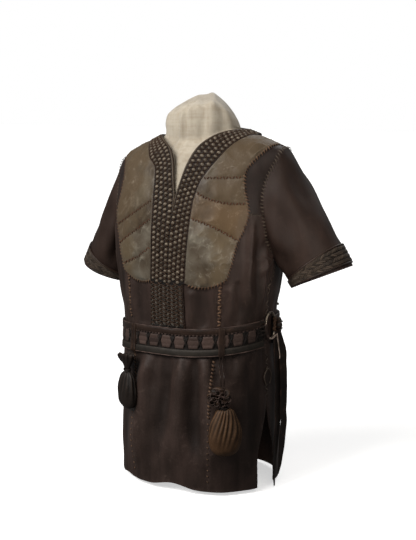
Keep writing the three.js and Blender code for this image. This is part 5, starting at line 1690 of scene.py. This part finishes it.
def pouch_frame(name, aside=0.0):
    """The axis' foot, the unit vectors across and towards the viewer of that side, and depth against width."""
    phi, h, out, flat = POUCHES[name]
    normal = body_normal(phi, h)
    turn = np.arctan2(normal[0], -normal[1])
    across, front = xyz(np.cos(turn), np.sin(turn), 0), xyz(np.sin(turn), -np.cos(turn), 0)
    return (body_point(phi, h) + normal * out - across * aside) * [1, 1, 0], across, front, flat


def around_axis(frame, sides, forwards, ups):
    """axis + across * sides + front * forwards + up * ups, for arrays of numbers."""
    axis, across, front, _ = frame
    sides, forwards, ups = (v[..., None] for v in np.broadcast_arrays(sides, forwards, ups))
    return axis + across * sides + front * forwards + UP * ups


def turned(outline, sides, rows):
    """Angle and share of the way on a grid round an outline of (radius, z), and the radius and z there."""
    profile = through_points([(r, 0.0, z) for r, z in outline], rows)
    angle, share = np.meshgrid(circle(sides), np.linspace(0, 1, rows))
    return angle, share, np.maximum(profile[:, :1], 0.3) + 0 * angle, profile[:, 2:]


# %% Bags
def pleat_wave(angle, share, count, skew, seed):
    """Folds round the bag: 1 - |sin| raised to 1.5 makes round ridges with sharp valleys; the phase slides
    with height by skew."""
    draw = np.random.default_rng(seed)
    phase = sum(draw.uniform(0.1, 0.35) / k * np.sin(k * angle + draw.uniform(0, 6)) for k in (1, 2, 3))
    return 1 - np.abs(np.sin(count / 2 * (angle + phase + skew * (1 - share)))) ** 1.5


def bag(name, outline, count, skew, depth, finish, slot, seed, quiet=0.0):
    """The outline's radius times 1 - depth * pleats, which run from the neck and fade out below the middle;
    quiet takes them off the left half, as seen from outside. The lower part sags into soft dents."""
    frame = pouch_frame(name)
    angle, share, radius, z = turned(outline, 132, 72)
    fade = smooth((share - 0.22) / 0.4)
    wave = pleat_wave(angle, share, count, skew, seed)
    place = xyz(radius * np.sin(angle), radius * np.cos(angle), 90 * share)
    calm = 1 - quiet * smooth((-np.sin(angle + 0.35) + 0.1) / 0.5)
    factor = 1 - depth * fade * calm * wave + 0.02 * soft_noise(place, 30, seed) * smooth(share / 0.1)
    lift = 1.3 * soft_noise(place, 45, seed + 1) * smooth(share / 0.2) * smooth((1 - share) / 0.2)
    r = radius * factor * (1 - 0.12 * np.cos(angle - np.pi) ** 8)
    skin = around_axis(frame, r * np.sin(angle), frame[3] * r * np.cos(angle), z + lift)
    # Painted shade darkens the pleats' valleys.
    made = piece(f"{name}_sack", capped(skin), finish, f"{name}_bag", slot,
                 edge=np.clip((1 - wave * fade) * smooth((share - 0.3) / 0.3) * 0.6, 0, 1),
                 dirt=np.clip(wave * fade * 0.9, 0, 1))
    print(name, "bag: %.0f mm wide" % (2 * r.max()))


bag("front_pouch", [(0, 95), (16, 97), (26, 105), (32, 119), (33.5, 136), (31, 156), (24, 175), (15, 190), (0, 195)],
    17, 1.1, 0.15, POUCH, "pouch_leather", 111, quiet=0.85)
bag("side_pouch", [(0, 163), (16, 165), (27, 176), (30.5, 195), (27, 216), (17, 237), (0, 246)],
    11, 0.3, 0.12, DARK_POUCH, "belt_leather", 113)

# %% Frills
def rosette():
    """The front frill: a round cushion seen from outside, by the angle in its face and the way from its
    front pole to its back pole; ridges cos(6 angle - 9.5 way) wind in a swirl and deepen towards the rim.
    Small curls of rolled leather lie on its face."""
    frame = pouch_frame("front_pouch", 12.0)
    front, middle = frame[2], 216.8
    a, b = np.meshgrid(circle(132), np.linspace(0.015, 0.985, 70))
    swirl, rim = np.cos(6 * a - 9.5 * b + 0.8 * np.sin(2 * a)), np.sin(np.pi * b)
    ridge = 0.5 + 0.5 * swirl
    reach = 24.0 * rim**0.8 * (1 + 0.07 * swirl * rim**2)
    depth = 10.5 * np.cos(np.pi * b) * (0.72 + 0.28 * ridge) - 2.5 * bell(b, 0.1) + 1.2 * swirl * rim
    skin = around_axis(frame, reach * np.cos(a), depth, middle + 0.86 * reach * np.sin(a))
    # Painted shade darkens the valleys between the swirling ridges.
    made = piece("front_pouch_rosette", capped(skin), ROSETTE, "front_pouch_ruffle", edge=0.7 * ridge**2,
                 dirt=0.9 * (1 - ridge) ** 1.5)
    t = np.linspace(np.radians(188), np.radians(352), 44)
    rolls = [tube(around_axis(frame, 23.0 * np.cos(t), 4.0, middle + 20.0 * np.sin(t)), front, 2.3, 2.3, 10)]
    draw, curls = np.random.default_rng(118), 18
    for k in range(curls):
        way, far, bend = 2.4 * k, 21 * np.sqrt((k + 0.5) / curls), draw.uniform(3.0, 5.4)
        x, z = far * np.cos(way), 0.9 * far * np.sin(way)
        c = draw.uniform(0, 6.3) + np.linspace(0, draw.uniform(1.0, 1.7) * np.pi, 22)
        over = 10.5 * np.sqrt(max(0.08, 1 - (np.hypot(x, z) / 25) ** 2)) + 0.8
        path = around_axis(frame, x + bend * np.cos(c), over + 1.4 * np.cos(c + k), middle + z + bend * np.sin(c))
        rolls.append(tube(path, front, 1.05, 1.1, 8))
    shape = joined(*rolls)
    piece("front_pouch_rolls", shape, BLOCKS, tone=0.5 + 0.4 * soft_noise(shape[0], 12, 117))


def fan():
    """The side frill: a cup that opens upwards in pleats, its rim standing in points, one of them drawn
    out to the side by 60 % and down; inside it dips."""
    frame = pouch_frame("side_pouch")
    outline = [(0, 246.3), (7, 246.6), (10, 252), (14, 261), (19, 272), (21.5, 280), (20.2, 282.5), (17.5, 279),
               (13, 268), (6, 262), (0, 261)]
    a, share, radius, z = turned(outline, 120, 64)
    high = smooth((z - 250) / 26)
    wave, tip = np.cos(9 * a + 0.7 * np.sin(2 * a)), bell(a - 4.6, 0.62)
    r = radius * (1 + 0.10 * wave * high + 0.6 * tip * high)
    lift = (1.6 * wave + 2.0 * np.sin(a + 2.2) - 12 * tip) * high
    skin = around_axis(frame, r * np.sin(a), frame[3] * r * np.cos(a), z + np.minimum(lift, 1.0) - high)
    edge = np.clip(bell(share - 0.56, 0.06) + 0.3 * high * (0.5 + 0.5 * wave), 0, 1)
    # Painted shade darkens the valleys between the fan's pleats.
    made = piece("side_pouch_fan", capped(skin), DARK_POUCH, "side_pouch_ruffle", edge=edge,
                 dirt=0.7 * high * (0.5 - 0.5 * wave))


rosette()
fan()
print("curls and fan made")

# %% Ties round the necks
def neck_tie(name, z, radius, aside, turns=2):
    """A thong wound twice round the gathered neck."""
    frame = pouch_frame(name, aside)
    t = np.linspace(0, 2 * np.pi * turns, 60 * turns)
    path = around_axis(frame, radius * np.sin(t), max(frame[3], 0.75) * radius * np.cos(t), z + 2.6 * t / (2 * np.pi))
    piece(f"{name}_tie", tube(path, unit((path - frame[0]) * [1, 1, 0]), 1.35, 1.2, 8), BLACK_THONG, tone=0.6)


neck_tie("front_pouch", 191.5, 10.5, 5.0)
neck_tie("side_pouch", 243.0, 8.4, 0.0)
for cord in thongs_hanging:
    cord.data.materials.append(BELT)

# %% [markdown]
# ## Dress form
# The form is a limbless torso under a fitted linen cover. Its torso is the body surface drawn in, so
# it is clear of the leather all round, and the neck is a leaning stack of ellipses. The two are made
# one skin by a voxel remesh and smoothed where they join; the cover's soft folds are added last.

# %% Form surface
FORM_BOTTOM, FORM_TOP_WIDTH = 232.0, 187.0
WAIST_AIR, BODY_AIR, SHOULDER_AIR = 5.5, 8.0, 2.9
NECK_BASE, NECK_CENTRE = 84.0, 15.0
NECK_RINGS = [  # height, half width, half depth, tilt
    (700, 82, 62, 0), (742, 84, 62, 0), (762, 86, 62, 0.04), (784, 85, 61, 0.12), (798, 83, 60, 0.18),
    (806, 80, 57, 0.2), (809, 72, 51, 0.2)]


def form_point(phi, h):
    """The body surface with its half axes less the air: 5.5 at the waist, 8 at the chest; its top lies 2.9
    under the shoulders."""
    low, w, width, depth, centre, rise = section(h)
    chest = mix(WAIST_AIR, BODY_AIR, smooth(np.abs(h - 330) / 120))
    air = np.where(h <= UNDERARM, chest, mix(BODY_AIR, WAIST_AIR, w))
    wide = np.where(h <= UNDERARM, width - air, mix(section(UNDERARM)[2] - BODY_AIR, FORM_TOP_WIDTH, w**1.2))
    deep = np.maximum(depth - air * np.minimum(1, depth / 60), 0)
    c, s = rounded(phi)
    x = wide * c
    z = low + (shoulder_line(x, NECK_BASE) - SHOULDER_AIR - UNDERARM) * rise
    return xyz(x, centre + deep * s, z)


def neck_skin():
    """Ellipses that lean back by their tilt, closed at the top by smaller ones that rise 1.6 sin."""
    turn = circle(120)
    rows = through_points([(rx, ry, z) for z, rx, ry, _ in NECK_RINGS], 60)
    z_of, _, _, tilt_of = np.array(NECK_RINGS).T
    y = rows[:, 1:2] * np.sin(turn)
    z = rows[:, 2:] + np.interp(rows[:, 2], z_of, tilt_of)[:, None] * y
    rings = xyz(rows[:, :1] * np.cos(turn), NECK_CENTRE + y, z)
    top = rings[-1:]
    middle = top.mean(axis=1, keepdims=True)
    inner = [mix(top, middle, s) + [0, 0, 1.6 * np.sin(np.pi / 2 * s)] for s in (0.15, 0.35, 0.6, 0.85)]
    return capped(np.concatenate([rings, *inner]))


def torso_skin():
    """Rings of the form's surface, closer together towards the shoulders."""
    top = mix(UNDERARM, SHOULDER, 1 - (1 - np.linspace(0, 1, 60)[1:]) ** 1.4)
    heights = np.concatenate([np.linspace(FORM_BOTTOM, UNDERARM, 60), top])
    return capped(form_point(*np.meshgrid(np.linspace(0, 360, 200, endpoint=False), heights)))


def remeshed(points, quads, voxel, smoothing):
    """The union of overlapping closed skins as one even skin: voxel remesh, then smoothing passes; returns
    points, quads and normals."""
    mesh = bpy.data.meshes.new("remesh")
    mesh.from_pydata((points * MM).tolist(), [], [list(dict.fromkeys(q)) for q in quads.tolist()])
    holder = placed("remesh", mesh)
    cut = holder.modifiers.new("cut", "REMESH")
    cut.mode, cut.voxel_size = "VOXEL", voxel * MM
    ease = holder.modifiers.new("ease", "SMOOTH")
    ease.iterations, ease.factor = smoothing, 0.5
    result = holder.evaluated_get(bpy.context.evaluated_depsgraph_get()).to_mesh()
    co, normal = np.empty(len(result.vertices) * 3), np.empty(len(result.vertices) * 3)
    result.vertices.foreach_get("co", co)
    result.vertices.foreach_get("normal", normal)
    corners = np.empty(len(result.loops), np.int32)
    result.loops.foreach_get("vertex_index", corners)
    assert len(corners) == 4 * len(result.polygons)
    bpy.data.objects.remove(holder)
    bpy.data.meshes.remove(mesh)
    return co.reshape(-1, 3) / MM, corners.reshape(-1, 4), normal.reshape(-1, 3)


# %% Form and its cover's folds
COVER_FOLDS = [  # angle round the neck, width, depth, lean
    (-118, 7, -4.2, 3), (-107, 6, 4.8, 2), (-97, 5, -4.4, 2), (-88, 6, 3.6, -2), (-76, 9, 1.4, 2),
    (-62, 7, -2.6, -3), (-50, 7, 1.8, -5), (-36, 7, -2.8, -8), (-24, 7, 1.6, -6), (8, 8, 1.4, 3),
    (45, 9, -1.6, 3), (78, 8, 1.4, -3), (110, 9, -1.4, 2), (150, 8, 1.6, -3), (-150, 8, 1.6, 3),
    (-136, 6, -1.4, 3), (-172, 7, -1.4, -3)]


def linen_folds(points):
    """Soft upright folds round the neck that run down on to the chest, each depth exp(-(off / width)^2);
    a 6 mm swell of the cover where the neck opening leaves it bare; faint slack elsewhere."""
    x, y, z = points.T
    angle = np.degrees(np.arctan2(y - NECK_CENTRE, x))
    high = smooth((z - 560) / 120) * smooth((822 - z) / 26)
    folds = 0
    for k, (middle, width, depth, lean) in enumerate(COVER_FOLDS):
        off = (angle - middle - lean * np.sin((z - 700) / 40 + 0.4 * k) + 180) % 360 - 180
        folds = folds + depth * bell(off, width)
    bare = bell(x, 72) * smooth(-y / 40) * smooth((z - 500) / 60) * smooth((735 - z) / 40)
    return folds * high * (1 - 0.6 * bare) + 6.0 * bare + 0.35 * soft_noise(points, 60, 121)


def pulled_down(points):
    """The cover's top is peaked towards the back left. Along a line that leans 30 degrees from the x axis, z
    falls evenly on one side, by 22 mm in 61, and on the other by 15 (s / 28)^1.7 from 18 mm on."""
    x, y, z = points.T
    along = 0.87 * x + 0.5 * (y - NECK_CENTRE)
    fall = 22 * np.maximum((-11 - along) / 61, 0) + 15 * np.maximum((along - 18) / 28, 0) ** 1.7
    fall -= 4 * bell(along - 20, 9)
    return points - np.array([0, 0, 1.0]) * (smooth((z - 740) / 70) * fall)[:, None]


points, quads, normals = remeshed(*joined(torso_skin(), neck_skin()), 5.0, 8)
points = pulled_down(points + normals * linen_folds(points)[:, None])
piece("form_cover", (points, quads), LINEN, "dress_form", "linen", sharp=75)
print("form faces:", len(quads))

# %% [markdown]
# ## Stand
# A turned stem carries the form on an oval plate. Both are turned or swept profiles with rounded
# edges.

# %% Stand
STEM_PROFILE = [  # radius and height
    (0.4, 10.3), (25.2, 10.3), (26, 11.2), (26, 17.2), (24.6, 18.4), (13.5, 20.6), (11, 23.4), (11, 60),
    (11, 120), (11, 180), (11, 216.6), (13.4, 219.2), (36.4, 223.0), (38, 224.6), (38, 230.6), (37.2, 231.6),
    (0.4, 231.7)]


def stand_piece(name, node, sides, half_width, half_depth, z):
    """Ellipses about the z axis, one for each half width, half depth and height."""
    turn = circle(sides)
    half_width, half_depth, z = (np.array(v)[:, None] for v in (half_width, half_depth, z))
    rings = xyz(half_width * np.cos(turn), half_depth * np.sin(turn), z)
    piece(name, capped(rings), STAND, node, "stand_paint", sharp=35)


def stand_base(half_width=118.0, half_depth=74.0, thickness=10.0, edge=3.0):
    """An oval plate: rings drawn in by 3 (1 - cos) as they rise by 3 sin over the upper edge, and by 1 mm below."""
    bend = np.linspace(0, np.pi / 2, 8)
    top = [half_depth / 2, half_depth - 1]
    drawn = np.concatenate([[half_depth - 1, 1.0, 0.3, 0.0], edge * (1 - np.cos(bend)), top])
    z = np.concatenate([[0, 0, 0.3, 1.0], thickness - edge + edge * np.sin(bend), [thickness, thickness]])
    stand_piece("base_plate", "stand_base", 144, half_width - drawn, half_depth - drawn, z)


radius, height = np.array(STEM_PROFILE).T
stand_piece("stem_turned", "stand_stem", 72, radius, radius, height)
stand_base()

# %% [markdown]
# ## Studio
# A plain pale floor and soft light. The key light is a broad lamp far off at the viewer's left and
# above, as a north window would be, so the wearer's left side falls into shade; a faint one behind
# draws the far edges, and a dim pale room fills the shadows.

# %% Floor and lights
ROOM_LIGHT, ROOM_SEEN = 0.16, 1.0
FLOOR_HALF = 20.0  # m


def floor():
    """A square of 40 m with a plain pale finish; it takes shadows, but throws no light up under the hem."""
    f = Finish("floor", Specular_IOR_Level=0.0, Emission_Color=(1, 1, 1, 1), Emission_Strength=0.56)
    paint = f.finish(f.blend(f.noise(0.5, 2), srgb(244, 244, 244), srgb(248, 248, 248)), f.noise(0.3) * 0.05 + 0.9)
    corners = [(x * FLOOR_HALF, y * FLOOR_HALF, 0) for x, y in ((-1, -1), (1, -1), (1, 1), (-1, 1))]
    mesh = bpy.data.meshes.new("floor")
    mesh.from_pydata(corners, [], [(0, 1, 2, 3)])
    mesh.materials.append(paint)
    made = placed("floor", mesh)
    made.visible_diffuse = made.visible_glossy = False


def far_lamp(name, azimuth, elevation, strength, spread, colour=(1, 1, 1)):
    """A lamp so far off that its light is even; spread is its width as seen from here, in degrees."""
    data = bpy.data.lights.new(name, "SUN")
    data.energy, data.angle, data.color = strength, np.radians(spread), colour
    aimed(data, direction(azimuth, elevation), (0, 0, 0))


def near_lamp(name, azimuth, elevation, distance, size, power, rise, colour=(1, 1, 1), spread=180):
    """A square lamp that faces a point so much above the target; being near, it lights the shoulders more
    than the hem."""
    data = bpy.data.lights.new(name, "AREA")
    data.shape, data.size, data.energy, data.color, data.spread = "SQUARE", size, power, colour, np.radians(spread)
    way = direction(azimuth, elevation)
    aimed(data, way, TARGET + Vector((0, 0, rise)) + distance * way).visible_camera = False


def pale_room():
    """The room looks pale behind the floor, and lights the object only dimly."""
    world = bpy.data.worlds.new("studio")
    world.use_nodes = True
    tree = world.node_tree
    background = tree.nodes["Background"]
    background.inputs["Color"].default_value = (1, 1, 1, 1)
    seen = tree.nodes.new("ShaderNodeLightPath")
    level = tree.nodes.new("ShaderNodeMapRange")
    level.inputs["To Min"].default_value, level.inputs["To Max"].default_value = ROOM_LIGHT, ROOM_SEEN
    tree.links.new(seen.outputs["Is Camera Ray"], level.inputs["Value"])
    tree.links.new(level.outputs["Result"], background.inputs["Strength"])
    bpy.context.scene.world = world


floor()
pale_room()
far_lamp("key", -30, 40, 1.9, 35, (1.0, 0.98, 0.96))
near_lamp("window", -20, 34, 1.5, 0.9, 18, 0.16, (1.0, 0.98, 0.95))
near_lamp("fill", 50, 40, 1.2, 0.6, 3.0, 0.08, (1.0, 0.93, 0.84))
near_lamp("low fill", 62, 2, 0.5, 0.25, 0.12, 0.05, (1.0, 0.92, 0.84), 50)
far_lamp("back", 178, 42, 0.9, 40)
bpy.context.scene.view_settings.view_transform = "Standard"
print("lights:", len(bpy.data.lights))
